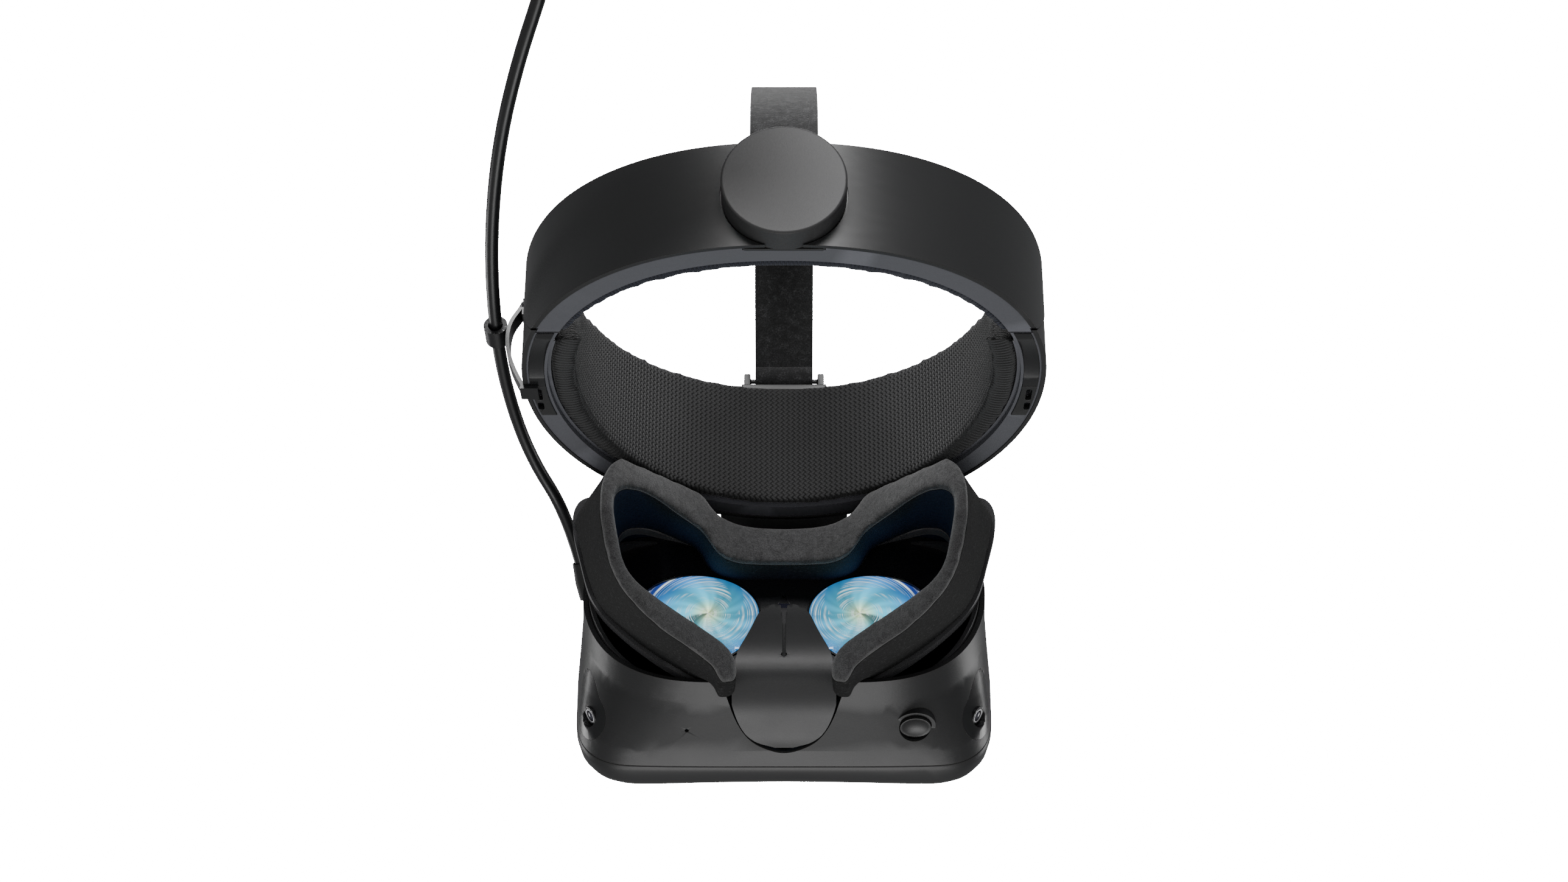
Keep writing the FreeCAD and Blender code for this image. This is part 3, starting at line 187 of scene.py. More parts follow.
def grain_group():
    """Fine moulded or rubbery grain: a mask, a roughness and a bump height."""
    group, start, end = new_group(
        "surface_grain",
        [("Scale", "Float", 1800.0), ("Base", "Float", 0.4), ("Vary", "Float", 0.1)],
        [("Mask", "Float"), ("Roughness", "Float"), ("Height", "Float")])
    place = step(group, "TexCoord").outputs["Object"]
    fine = step(group, "TexNoise", [("Vector", place), ("Scale", start.outputs["Scale"])], Detail=3.0)
    broad = step(group, "TexNoise", [("Vector", place)], Scale=28.0, Detail=4.0)
    both = sums(group, "MULTIPLY", sums(group, "SUBTRACT", broad.outputs["Fac"], 0.5), start.outputs["Vary"])
    rough = sums(group, "ADD", start.outputs["Base"], sums(group, "MULTIPLY", both, 2.0))
    group.links.new(broad.outputs["Fac"], end.inputs["Mask"])
    group.links.new(rough, end.inputs["Roughness"])
    group.links.new(fine.outputs["Fac"], end.inputs["Height"])
    return group


def painted_edge_group():
    """Painted edge highlight: sharp edges, found by pointiness, are painted lighter, more so where a cloud
    mask allows.
    """
    group, start, end = new_group(
        "painted_edge_highlight",
        [("Colour", "Color", (0.02, 0.02, 0.02, 1.0)), ("Worn", "Color", (0.1, 0.1, 0.1, 1.0)),
         ("Amount", "Float", 0.6)],
        [("Colour", "Color"), ("Mask", "Float")])
    edge = step(group, "NewGeometry").outputs["Pointiness"]
    sharp = step(group, "MapRange", [("Value", edge)], From_Min=0.53, From_Max=0.62)
    place = step(group, "TexCoord").outputs["Object"]
    cloud = step(group, "TexNoise", [("Vector", place)], Scale=60.0, Detail=5.0)
    mask = sums(group, "MULTIPLY", sharp.outputs["Result"], cloud.outputs["Fac"])
    mask = sums(group, "MULTIPLY", mask, start.outputs["Amount"])
    mixed = step(group, "MixRGB", [("Fac", mask), ("Color1", start.outputs["Colour"]),
                                   ("Color2", start.outputs["Worn"])])
    group.links.new(mixed.outputs["Color"], end.inputs["Colour"])
    group.links.new(mask, end.inputs["Mask"])
    return group


GRAIN = grain_group()
PAINTED_EDGE = painted_edge_group()


def use_group(tree, group, **values):
    """Add a node group and set its inputs."""
    made = tree.nodes.new("ShaderNodeGroup")
    made.node_tree = group
    for key, value in values.items():
        made.inputs[key].default_value = value
    return made


def moulded(name, colour, roughness, grain=0.03, scale=1800.0, vary=0.06, edge_highlight=0.5, highlight_lift=3.0, **more):
    """Moulded plastic or rubber: grain, slow changes of roughness, and a painted highlight on sharp edges."""
    material = plain_material(name, colour, roughness, **more)
    tree = material.node_tree
    shader = tree.nodes["Principled BSDF"]
    grains = use_group(tree, GRAIN, Scale=scale, Base=roughness, Vary=vary)
    # painted highlight: the edge colour is the base colour lifted several times lighter
    highlight_colour = tuple(min(1.0, c * highlight_lift + 0.01) for c in colour)
    edges = use_group(tree, PAINTED_EDGE, Colour=(*colour, 1.0), Worn=(*highlight_colour, 1.0), Amount=edge_highlight)
    bump = step(tree, "Bump", [("Height", grains.outputs["Height"])], Strength=grain, Distance=0.0002)
    tree.links.new(edges.outputs["Colour"], shader.inputs["Base Color"])
    tree.links.new(grains.outputs["Roughness"], shader.inputs["Roughness"])
    tree.links.new(bump.outputs["Normal"], shader.inputs["Normal"])
    return material


CORD_THICK = 0.0052
COIL_CENTRE = Vector((0.038, 0.244, 0.0))
COIL_RING = 0.040
cord_route = [
    (0.0876, -0.1250, -0.0001), (0.0933, -0.1065, 0.0120), (0.1062, -0.0730, 0.0125),
    (0.1126, -0.0300, 0.0082), (0.1137, 0.0140, 0.0022), (0.1116, 0.0580, 0.0007),
    (0.1052, 0.1040, 0.0), (0.0946, 0.1455, 0.0), (0.0805, 0.1860, 0.0), (0.0780, 0.2370, 0.0)]
turn_points = 14
turn_gap = 0.0053
layer_gap = 0.0046
layers = [((rank - 2) * layer_gap, count) for rank, count in enumerate((2, 3, 4, 3, 2))]
places = []
for rank, (height, count) in enumerate(layers):
    row = [(k - (count - 1) / 2.0) * turn_gap for k in range(count)]
    places += [(out, height) for out in (row if rank % 2 == 0 else reversed(row))]
coil_points = []
steps = len(places) * turn_points
for i in range(6, steps):
    turn = i / turn_points
    here = places[int(turn)]
    after = places[min(int(turn) + 1, len(places) - 1)]
    share = max(0.0, (turn - int(turn)) * 4.0 - 3.0)
    out = COIL_RING + here[0] + (after[0] - here[0]) * share
    height = here[1] + (after[1] - here[1]) * share
    angle = 2.0 * math.pi * turn
    coil_points.append((COIL_CENTRE.x + out * math.cos(angle), COIL_CENTRE.y + out * math.sin(angle), height))


def cord_curve(name, points, thick):
    """A cord as one smooth spline through the air, round in section."""
    data = bpy.data.curves.new(name, "CURVE")
    data.dimensions = "3D"
    spline = data.splines.new("NURBS")
    spline.points.add(len(points) - 1)
    for point, place in zip(spline.points, points):
        point.co = (*place, 1.0)
    spline.order_u = 3
    spline.use_endpoint_u = True
    spline.resolution_u = 6
    data.bevel_depth = thick / 2.0
    data.bevel_resolution = 5
    data.use_fill_caps = True
    made = bpy.data.objects.new(name, data)
    bpy.context.collection.objects.link(made)
    return made


jacket = moulded("cord_jacket", (0.013, 0.013, 0.014), 0.34, grain=0.04, scale=900.0, edge_highlight=0.0)
splitter_low, splitter_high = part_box("cord_splitter")
splitter_mid = (splitter_low + splitter_high) / 2.0
into_splitter = [
    (splitter_mid.x + 0.004, splitter_low.y - 0.016, 0.0120),
    (splitter_mid.x + 0.002, splitter_low.y - 0.007, splitter_mid.z),
    (splitter_mid.x, splitter_low.y + 0.004, splitter_mid.z)]
cord = cord_curve("headset_cord", cord_route + coil_points[:-3] + into_splitter, CORD_THICK)
cord.data.materials.append(jacket)
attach(cord, "front_band")
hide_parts("cord_tube", "cord_coil")


def node_finish(material, *names):
    """Give CAD nodes their finish."""
    for name in names:
        nodes[name].data.materials.clear()
        nodes[name].data.materials.append(material)


def refined(source, name, material, body, bevel=0.0003, angle=40.0):
    """A moulded piece copied from its CAD node: joined faces, softened edges, smooth shading."""
    piece = nodes[source].copy()
    piece.data = nodes[source].data.copy()
    piece.name = name
    piece.data.materials.clear()
    piece.data.materials.append(material)
    bpy.context.collection.objects.link(piece)
    alone(piece)
    bpy.ops.object.mode_set(mode="EDIT")
    bpy.ops.mesh.select_all(action="SELECT")
    bpy.ops.mesh.remove_doubles(threshold=0.00002)
    bpy.ops.object.mode_set(mode="OBJECT")
    if bevel > 0.0:
        soft = piece.modifiers.new("soft_edges", "BEVEL")
        soft.width = bevel
        soft.segments = 2
        soft.limit_method = "ANGLE"
        soft.angle_limit = math.radians(angle)
        soft.use_clamp_overlap = True
        bpy.ops.object.modifier_apply(modifier=soft.name)
    bpy.ops.object.shade_smooth_by_angle(angle=math.radians(angle))
    even = piece.modifiers.new("even_normals", "WEIGHTED_NORMAL")
    even.keep_sharp = True
    even.weight = 80
    bpy.ops.object.modifier_apply(modifier=even.name)
    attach(piece, body)
    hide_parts(source)
    return piece


splitter = refined("cord_splitter", "splitter_body", jacket, "front_band", 0.0004)
tie_rubber = moulded("tie_rubber", (0.02, 0.02, 0.021), 0.6, grain=0.1, edge_highlight=0.2)
tie = refined("coil_tie", "coil_strap", tie_rubber, "front_band", 0.0004)
plug_plastic = moulded("plug_plastic", (0.02, 0.02, 0.021), 0.45, grain=0.05)
plug_steel = moulded("plug_steel", (0.55, 0.55, 0.56), 0.28, grain=0.02, Metallic=1.0, highlight_lift=1.2)
for kind in ("video", "usb"):
    shell = refined("plug_" + kind, "plug_shell_" + kind, plug_plastic, "front_band", 0.0004)
    node_finish(plug_steel, "plug_" + kind + "_metal")
    low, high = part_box("tail_" + kind)
    side = math.copysign(1.0, (low.y + high.y) / 2.0 - COIL_CENTRE.y)
    near = (low.y if side > 0 else high.y) + side * 0.002
    far = (high.y if side > 0 else low.y) - side * 0.002
    tail_points = [(high.x + 0.006, near, splitter_mid.z), (high.x - 0.006, near, splitter_mid.z),
                   (low.x + 0.007, far, splitter_mid.z), (low.x - 0.008, far, splitter_mid.z)]
    tail = cord_curve("tail_cord_" + kind, tail_points, 0.004)
    tail.data.materials.append(jacket)
    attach(tail, "front_band")
    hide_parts("tail_" + kind)

# ---- cord clip ----
# A glossy hook moulded in nylon, pushed over the wearer's left arm of the band. Its ring holds
# the cord and its curved arm springs round the band's edge.
clip_nylon = moulded("clip_nylon", (0.012, 0.012, 0.013), 0.3, grain=0.02, edge_highlight=0.5)
refined("cable_clip", "cord_clip", clip_nylon, "front_band", 0.0005)

# ---- rear shell and its frame ----
# The rear shell is a satin black injection-moulded cover; a blue-grey frame closes it from
# inside and carries the pad. The shell snaps over the frame with no visible screw.
satin_black = moulded("satin_black", (0.016, 0.016, 0.0165), 0.40, grain=0.03, scale=2600.0, vary=0.04)
grey_frame = moulded("grey_frame", (0.105, 0.107, 0.122), 0.55, grain=0.10, scale=1500.0)
refined("rear_shell", "rear_cover", satin_black, "rear_band", 0.0008)
refined("rear_frame", "rear_cover_frame", grey_frame, "rear_band", 0.0003)
node_finish(grey_frame, "rack_left", "rack_right")

# ---- fit wheel ----
# A round matt cap with a softly rolled edge, screwed to the shaft whose pinion drives the
# racks. Fine spark-eroded texture all over.
dial_matt = moulded("dial_matt", (0.030, 0.030, 0.031), 0.52, grain=0.22, scale=1500.0, vary=0.03, edge_highlight=0.3)
refined("fit_dial", "fit_wheel_cap", dial_matt, "fit_wheel", 0.0007, angle=35.0)
node_finish(dial_matt, "dial_shaft")
node_finish(plug_steel, "dial_screw")


# ---- pads: rear pad and front pad ----
# Knitted spacer mesh and a woven cover over moulded foam, bonded to their backing plates.
def weave_group():
    """A plain weave laid at 45 degrees, from a UV map in metres: height, thread mask and gaps."""
    group, start, end = new_group(
        "diagonal_weave", [("Pitch", "Float", 0.0012), ("Stretch", "Float", 1.0)],
        [("Height", "Float"), ("Across", "Float"), ("Gap", "Float")])
    place = step(group, "SeparateXYZ", [("Vector", step(group, "TexCoord").outputs["UV"])])
    u = sums(group, "DIVIDE", place.outputs["X"], start.outputs["Pitch"])
    v = sums(group, "MULTIPLY", sums(group, "DIVIDE", place.outputs["Y"], start.outputs["Pitch"]),
             start.outputs["Stretch"])
    p = sums(group, "ADD", u, v)
    q = sums(group, "SUBTRACT", u, v)
    along = sums(group, "SUBTRACT", sums(group, "MULTIPLY", sums(group, "FRACT", p), 2.0), 1.0)
    across = sums(group, "SUBTRACT", sums(group, "MULTIPLY", sums(group, "FRACT", q), 2.0), 1.0)
    first = sums(group, "SUBTRACT", 1.0, sums(group, "MULTIPLY", along, along))
    second = sums(group, "SUBTRACT", 1.0, sums(group, "MULTIPLY", across, across))
    cell = sums(group, "ADD", sums(group, "FLOOR", p), sums(group, "FLOOR", q))
    odd = sums(group, "GREATER_THAN", sums(group, "FRACT", sums(group, "MULTIPLY", cell, 0.5)), 0.25)
    mixed = step(group, "MixRGB", [("Fac", odd), ("Color1", first), ("Color2", second)])
    group.links.new(mixed.outputs["Color"], end.inputs["Height"])
    group.links.new(odd, end.inputs["Across"])
    gap = sums(group, "MULTIPLY", first, second)
    group.links.new(sums(group, "SUBTRACT", 1.0, gap), end.inputs["Gap"])
    return group


WEAVE = weave_group()


def woven(name, dark, light, pitch, depth, stretch=1.0, sheen=0.3, roughness=0.85):
    """Woven or knitted cloth: threads cross at 45 degrees, with gaps between them; painted shade darkens the
    gaps and a painted highlight lightens the thread crowns.
    """
    material = plain_material(name, light, roughness, Sheen_Weight=sheen, Sheen_Roughness=0.4)
    tree = material.node_tree
    shader = tree.nodes["Principled BSDF"]
    weave = use_group(tree, WEAVE, Pitch=pitch, Stretch=stretch)
    place = step(tree, "TexCoord").outputs["Object"]
    cloud = step(tree, "TexNoise", [("Vector", place)], Scale=35.0, Detail=4.0)
    fuzz = step(tree, "TexNoise", [("Vector", place)], Scale=2400.0, Detail=2.0)
    # painted shade and highlight: the tone follows thread height, darker in the gaps, lighter on the crowns
    level = sums(tree, "MULTIPLY", weave.outputs["Height"], sums(tree, "ADD", cloud.outputs["Fac"], 0.5))
    tone = step(tree, "ValToRGB", [("Fac", level)])
    tone.color_ramp.elements[0].color = (*dark, 1.0)
    tone.color_ramp.elements[1].color = (*light, 1.0)
    height = sums(tree, "ADD", weave.outputs["Height"], sums(tree, "MULTIPLY", fuzz.outputs["Fac"], 0.35))
    bump = step(tree, "Bump", [("Height", height)], Strength=0.9, Distance=depth)
    tree.links.new(tone.outputs["Color"], shader.inputs["Base Color"])
    tree.links.new(bump.outputs["Normal"], shader.inputs["Normal"])
    return material


def stuffed(source, name, body, voxel, swell, cap):
    """A foam piece from its CAD solid: remeshed, swollen a little as cloth under pressure, smoothed."""
    piece = nodes[source].copy()
    piece.data = nodes[source].data.copy()
    piece.name = name
    piece.data.materials.clear()
    bpy.context.collection.objects.link(piece)
    alone(piece)
    bpy.ops.object.mode_set(mode="EDIT")
    bpy.ops.mesh.select_all(action="SELECT")
    bpy.ops.mesh.remove_doubles(threshold=0.00002)
    bpy.ops.object.mode_set(mode="OBJECT")
    skin = piece.modifiers.new("skin", "REMESH")
    skin.mode = "VOXEL"
    skin.voxel_size = voxel
    bpy.ops.object.modifier_apply(modifier=skin.name)
    rest = [v.co.copy() for v in piece.data.vertices]
    if swell > 0.0:
        cloth = piece.modifiers.new("swell", "CLOTH")
        cloth.settings.use_pressure = True
        cloth.settings.uniform_pressure_force = swell
        cloth.settings.effector_weights.gravity = 0.0
        cloth.settings.quality = 4
        cloth.point_cache.frame_start = 1
        cloth.point_cache.frame_end = 14
        for number in range(1, 15):
            bpy.context.scene.frame_set(number)
        bpy.ops.object.modifier_apply(modifier=cloth.name)
        bpy.context.scene.frame_set(1)
        for vertex, start in zip(piece.data.vertices, rest):
            move = vertex.co - start
            if move.length > cap:
                vertex.co = start + move * (cap / move.length)
    bpy.ops.object.shade_smooth()
    bpy.ops.object.mode_set(mode="EDIT")
    bpy.ops.mesh.select_all(action="SELECT")
    bpy.ops.mesh.vertices_smooth(factor=0.5, repeat=2)
    bpy.ops.object.mode_set(mode="OBJECT")
    rounding = piece.modifiers.new("rounding", "SUBSURF")
    rounding.levels = 1
    rounding.render_levels = 1
    bpy.ops.object.modifier_apply(modifier=rounding.name)
    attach(piece, body)
    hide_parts(source)
    return piece


def band_uv(piece, back):
    """A UV map in metres round the head band: along the band, and up it."""
    layer = piece.data.uv_layers.new(name="round_band")
    for corner in piece.data.loops:
        place = piece.data.vertices[corner.vertex_index].co
        along = place.dot(BAND_Y) - 0.015
        turn = math.atan2(place.x, along if back else -along)
        layer.data[corner.index].uv = (turn * 0.095, place.dot(BAND_Z))


mesh_cloth = woven("spacer_mesh", (0.008, 0.009, 0.014), (0.030, 0.034, 0.052), 0.0016, 0.0004, 1.0, 0.15)
rear_pad = stuffed("rear_pad", "rear_cushion", "rear_band", 0.0016, 0.6, 0.0006)
band_uv(rear_pad, True)
rear_pad.data.materials.append(mesh_cloth)

pad_cloth = woven("pad_weave", (0.003, 0.003, 0.0032), (0.036, 0.036, 0.037), 0.0021, 0.0006, 1.0, 0.1)
front_pad = stuffed("front_pad", "front_cushion", "front_band", 0.002, 0.6, 0.0008)
band_uv(front_pad, False)
front_pad.data.materials.append(pad_cloth)
node_finish(grey_frame, "front_pad_backing")

# ---- front band: outer shell, inner channel, arm liners and speaker panels ----
# A satin outer shell over a channel; the arms' underside has a glossy liner at the back and a
# panel with two sound slots in front of it, each pressed into its recess.
gloss_black = moulded("gloss_black", (0.012, 0.012, 0.013), 0.22, grain=0.015, edge_highlight=0.3)
refined("band_shell", "band_outer_shell", satin_black, "front_band", 0.0004)
refined("band_inner", "band_channel", grey_frame, "front_band", 0.0003)
for side in ("left", "right"):
    refined("arm_liner_" + side, "arm_gloss_liner_" + side, gloss_black, "front_band", 0.0003)
    refined("speaker_panel_" + side, "sound_panel_" + side, satin_black, "front_band", 0.0003)
node_finish(satin_black, "arm_tongues")
driver_cone = moulded("driver_cone", (0.02, 0.02, 0.02), 0.6, grain=0.2)
node_finish(driver_cone, "speaker_drivers")

# ---- top strap and buckle ----
# Napped loop webbing, folded through a moulded buckle at the front and sewn at the back.


def felt_material(name, colour, sparkle, roughness=0.95, nap=0.0004, scale=1500.0):
    """Napped cloth: short fibres standing at random, clumped, with pale fibre ends."""
    material = plain_material(name, colour, roughness, Sheen_Weight=0.35, Sheen_Roughness=0.5)
    tree = material.node_tree
    shader = tree.nodes["Principled BSDF"]
    place = step(tree, "TexCoord").outputs["Object"]
    fine = step(tree, "TexNoise", [("Vector", place)], Scale=scale, Detail=4.0, Roughness=0.7)
    clump = step(tree, "TexNoise", [("Vector", place)], Scale=scale * 0.22, Detail=5.0, Distortion=0.6)
    tone = step(tree, "ValToRGB", [("Fac", sums(tree, "ADD", sums(tree, "MULTIPLY", fine.outputs["Fac"], 0.6),
                                                 sums(tree, "MULTIPLY", clump.outputs["Fac"], 0.4)))])
    tone.color_ramp.elements[0].position = 0.36
    tone.color_ramp.elements[0].color = (*[c * 0.35 for c in colour], 1.0)
    tone.color_ramp.elements[1].position = 0.52
    tone.color_ramp.elements[1].color = (*colour, 1.0)
    tip = tone.color_ramp.elements.new(0.66)
    tip.color = (*sparkle, 1.0)
    height = sums(tree, "ADD", fine.outputs["Fac"], clump.outputs["Fac"])
    bump = step(tree, "Bump", [("Height", height)], Strength=0.8, Distance=nap)
    tree.links.new(tone.outputs["Color"], shader.inputs["Base Color"])
    tree.links.new(bump.outputs["Normal"], shader.inputs["Normal"])
    return material


strap_felt = felt_material("strap_felt", (0.022, 0.022, 0.023), (0.075, 0.075, 0.078))
strap = refined("top_strap", "top_webbing", strap_felt, "front_band", 0.0003, angle=50.0)
refined("strap_buckle", "webbing_buckle", satin_black, "front_band", 0.0005)

# ---- bracket, hinge pin, arm and rail ----
# The bracket is screwed under the band's front; the visor's arm turns on its steel pin, and
# the rail lets the visor slide forward on the arm.
bracket_grey = moulded("bracket_grey", (0.075, 0.075, 0.078), 0.42, grain=0.05)
refined("bracket", "hinge_bracket", bracket_grey, "front_band", 0.0004)
node_finish(plug_steel, "bracket_screws", "tilt_pin")
refined("visor_arm", "hinge_arm", bracket_grey, "visor_arm", 0.0004)
refined("visor_rail", "slide_rail", satin_black, "visor", 0.0004)

# ---- visor housing, front cover and side cameras ----
# A one-piece satin housing with a front cover snapped on, two dark camera panels let into its
# lower corners, and a smaller pair of cameras in the front.
visor_black = moulded("visor_black", (0.017, 0.017, 0.0178), 0.40, grain=0.05, scale=2200.0, vary=0.04)
refined("visor_housing", "visor_body", visor_black, "visor", 0.0004)
refined("visor_front_cover", "front_cover", visor_black, "visor", 0.0004)
camera_gloss = moulded("camera_gloss", (0.010, 0.010, 0.011), 0.25, grain=0.01)
refined("camera_panels", "camera_trims", camera_gloss, "visor", 0.0003)
refined("camera_bodies", "camera_barrels", camera_gloss, "visor", 0.0002)
camera_glass = plain_material("camera_glass", (0.03, 0.03, 0.05), 0.04, Coat_Weight=1.0, Coat_Roughness=0.02,
                              Specular_IOR_Level=0.8)
node_finish(camera_glass, "camera_glass")
ring_radius = 0.0033
ring_width = 0.0009
ring_wall = 0.0005
ring_edge = 0.00018
ring_steel = moulded("ring_steel", (0.55, 0.55, 0.57), 0.35, grain=0.02, Metallic=0.5, highlight_lift=1.2)
for side in (1.0, -1.0):
    way = Vector((0.80 * side, 0.12, -0.59)).normalized()
    spot = EYE + Vector((0.0806 * side, -0.0285, -0.0305)) + way * 0.0006
    alone()
    bpy.ops.mesh.primitive_circle_add(vertices=48, radius=ring_radius, fill_type="NGON")
    ring = bpy.context.object
    ring.name = "camera_ring_" + ("left" if side > 0 else "right")
    bpy.ops.object.mode_set(mode="EDIT")
    bpy.ops.mesh.select_all(action="SELECT")
    bpy.ops.mesh.inset(thickness=ring_width, depth=0.0)
    bpy.ops.mesh.delete(type="FACE")
    bpy.ops.object.mode_set(mode="OBJECT")
    wall = ring.modifiers.new("wall", "SOLIDIFY")
    wall.thickness = ring_wall
    bpy.ops.object.modifier_apply(modifier=wall.name)
    edge = ring.modifiers.new("edge", "BEVEL")
    edge.width = ring_edge
    edge.segments = 3
    bpy.ops.object.modifier_apply(modifier=edge.name)
    ring.rotation_euler = way.to_track_quat("Z", "Y").to_euler()
    ring.location = spot
    bpy.ops.object.transform_apply(location=True, rotation=True, scale=True)
    bpy.ops.object.shade_smooth_by_angle(angle=math.radians(40.0))
    ring.data.materials.append(ring_steel)
    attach(ring, "visor")
node_finish(driver_cone, "microphone")
jack_ring = moulded("jack_ring", (0.02, 0.02, 0.02), 0.4)
refined("headphone_jack", "headphone_socket", jack_ring, "visor", 0.0002)
soft_rubber = moulded("soft_rubber", (0.018, 0.018, 0.0185), 0.55, grain=0.12)
refined("cord_gland", "cord_relief", soft_rubber, "visor", 0.0004)
button_plastic = moulded("button_plastic", (0.016, 0.016, 0.0165), 0.36, grain=0.02)
refined("release_button", "release_key", button_plastic, "release_button", 0.0003)
node_finish(plug_steel, "button_spring")

# ---- skirt, foam frame, face foam and light tunnel ----
# Suede-faced foam on a moulded frame that clips to the visor; a gloss skirt closes the gap, and
# the tunnel keeps stray light out.
skirt_gloss = moulded("skirt_gloss", (0.045, 0.045, 0.047), 0.38, grain=0.03)
refined("visor_skirt", "gloss_skirt", skirt_gloss, "visor", 0.0003)
foam_rim = moulded("foam_rim", (0.12, 0.12, 0.125), 0.40, grain=0.05)
refined("foam_frame", "foam_carrier", foam_rim, "visor", 0.0003)
# the baffle's navy is dark plastic with the display's blue light painted into it
tunnel_dark_and_painted_glow = moulded("tunnel_dark_and_painted_glow", (0.010, 0.018, 0.045), 0.42, grain=0.05, edge_highlight=0.1)
refined("light_tunnel", "light_baffle", tunnel_dark_and_painted_glow, "visor", 0.0003)


def face_foam_material():
    """Two skins: paler suede where the face rests, a coarse dark skin on the sides, a seam between;
    inward-facing walls get a painted navy glow from the display.
    """
    material = plain_material("foam_suede", (0.03, 0.03, 0.03), 0.95, Sheen_Weight=0.3, Sheen_Roughness=0.5)
    tree = material.node_tree
    shader = tree.nodes["Principled BSDF"]
    place = step(tree, "TexCoord").outputs["Object"]
    axes = step(tree, "SeparateXYZ", [("Vector", place)])
    square = sums(tree, "MULTIPLY", axes.outputs["X"], axes.outputs["X"])
    flatter = sums(tree, "MULTIPLY", square, 1051.0)
    bow = sums(tree, "MULTIPLY", square, sums(tree, "SUBTRACT", 15.28, flatter))
    front = sums(tree, "ADD", bow, EYE.y + 0.020)
    depth = sums(tree, "SUBTRACT", front, axes.outputs["Y"])
    facing = step(tree, "SeparateXYZ", [("Vector", step(tree, "NewGeometry").outputs["Normal"])])
    middle = sums(tree, "MULTIPLY", sums(tree, "SIGN", axes.outputs["X"]), 0.036)
    aside = sums(tree, "SUBTRACT", middle, axes.outputs["X"])
    above = sums(tree, "SUBTRACT", EYE.z + 0.010, axes.outputs["Z"])
    to_side = sums(tree, "MULTIPLY", aside, facing.outputs["X"])
    to_top = sums(tree, "MULTIPLY", above, facing.outputs["Z"])
    inward = sums(tree, "ADD", to_side, to_top)
    inner = step(tree, "MapRange", [("Value", inward)], From_Min=0.004, From_Max=0.010)
    on_face = step(tree, "MapRange", [("Value", depth)], From_Min=0.0046, From_Max=0.0040)
    seam_a = step(tree, "MapRange", [("Value", depth)], From_Min=0.0034, From_Max=0.0042)
    seam_b = step(tree, "MapRange", [("Value", depth)], From_Min=0.0052, From_Max=0.0044)
    seam = sums(tree, "MULTIPLY", seam_a.outputs["Result"], seam_b.outputs["Result"])
    fine = step(tree, "TexNoise", [("Vector", place)], Scale=1700.0, Detail=4.0, Roughness=0.7)
    clump = step(tree, "TexNoise", [("Vector", place)], Scale=330.0, Detail=5.0, Distortion=0.8)
    sparks = step(tree, "TexNoise", [("Vector", place)], Scale=700.0, Detail=3.0, Roughness=0.8)
    lift = sums(tree, "ADD", clump.outputs["Fac"], 0.5)
    suede = step(tree, "ValToRGB", [("Fac", sums(tree, "MULTIPLY", fine.outputs["Fac"], lift))])
    suede.color_ramp.elements[0].position = 0.34
    suede.color_ramp.elements[0].color = (0.022, 0.022, 0.023, 1.0)
    suede.color_ramp.elements[1].position = 0.66
    suede.color_ramp.elements[1].color = (0.075, 0.075, 0.077, 1.0)
    skin = step(tree, "ValToRGB", [("Fac", sparks.outputs["Fac"])])
    skin.color_ramp.elements[0].position = 0.56
    skin.color_ramp.elements[0].color = (0.004, 0.004, 0.0042, 1.0)
    skin.color_ramp.elements[1].position = 0.74
    skin.color_ramp.elements[1].color = (0.060, 0.060, 0.064, 1.0)
    # painted light: inward-facing walls are tinted navy for the display's blue glow
    sides = step(tree, "MixRGB", [("Fac", inner.outputs["Result"]), ("Color1", skin.outputs["Color"])],
                 Color2=(0.005, 0.010, 0.032, 1.0))
    both = step(tree, "MixRGB", [("Fac", on_face.outputs["Result"]), ("Color1", sides.outputs["Color"]),
                                 ("Color2", suede.outputs["Color"])])
    tree.links.new(sums(tree, "MULTIPLY", on_face.outputs["Result"], 0.3), shader.inputs["Sheen Weight"])
    sewn = step(tree, "MixRGB", [("Fac", seam), ("Color1", both.outputs["Color"])],
                Color2=(0.004, 0.004, 0.004, 1.0))
    height = sums(tree, "SUBTRACT", sums(tree, "ADD", fine.outputs["Fac"], clump.outputs["Fac"]),
                  sums(tree, "MULTIPLY", seam, 3.0))
    bump = step(tree, "Bump", [("Height", height)], Strength=0.7, Distance=0.0004)
    tree.links.new(sewn.outputs["Color"], shader.inputs["Base Color"])
    tree.links.new(bump.outputs["Normal"], shader.inputs["Normal"])
    return material


foam = stuffed("face_foam", "face_cushion", "visor", 0.0022, 0.5, 0.0008)
foam.data.materials.append(face_foam_material())

# ---- lens plate, lenses, sensor window and nose flap ----
# Clear moulded lenses with fine ring grooves sit in thin dark rims in the plate; the display's
# light behind them is painted onto the lenses as a glow, with painted highlight arcs.
plate_black = moulded("plate_black", (0.013, 0.013, 0.015), 0.40, grain=0.05)
refined("lens_plate", "optics_plate", plate_black, "visor", 0.0004)
refined("lens_rims", "lens_bezels", camera_gloss, "visor", 0.0002)
node_finish(camera_glass, "proximity_window")


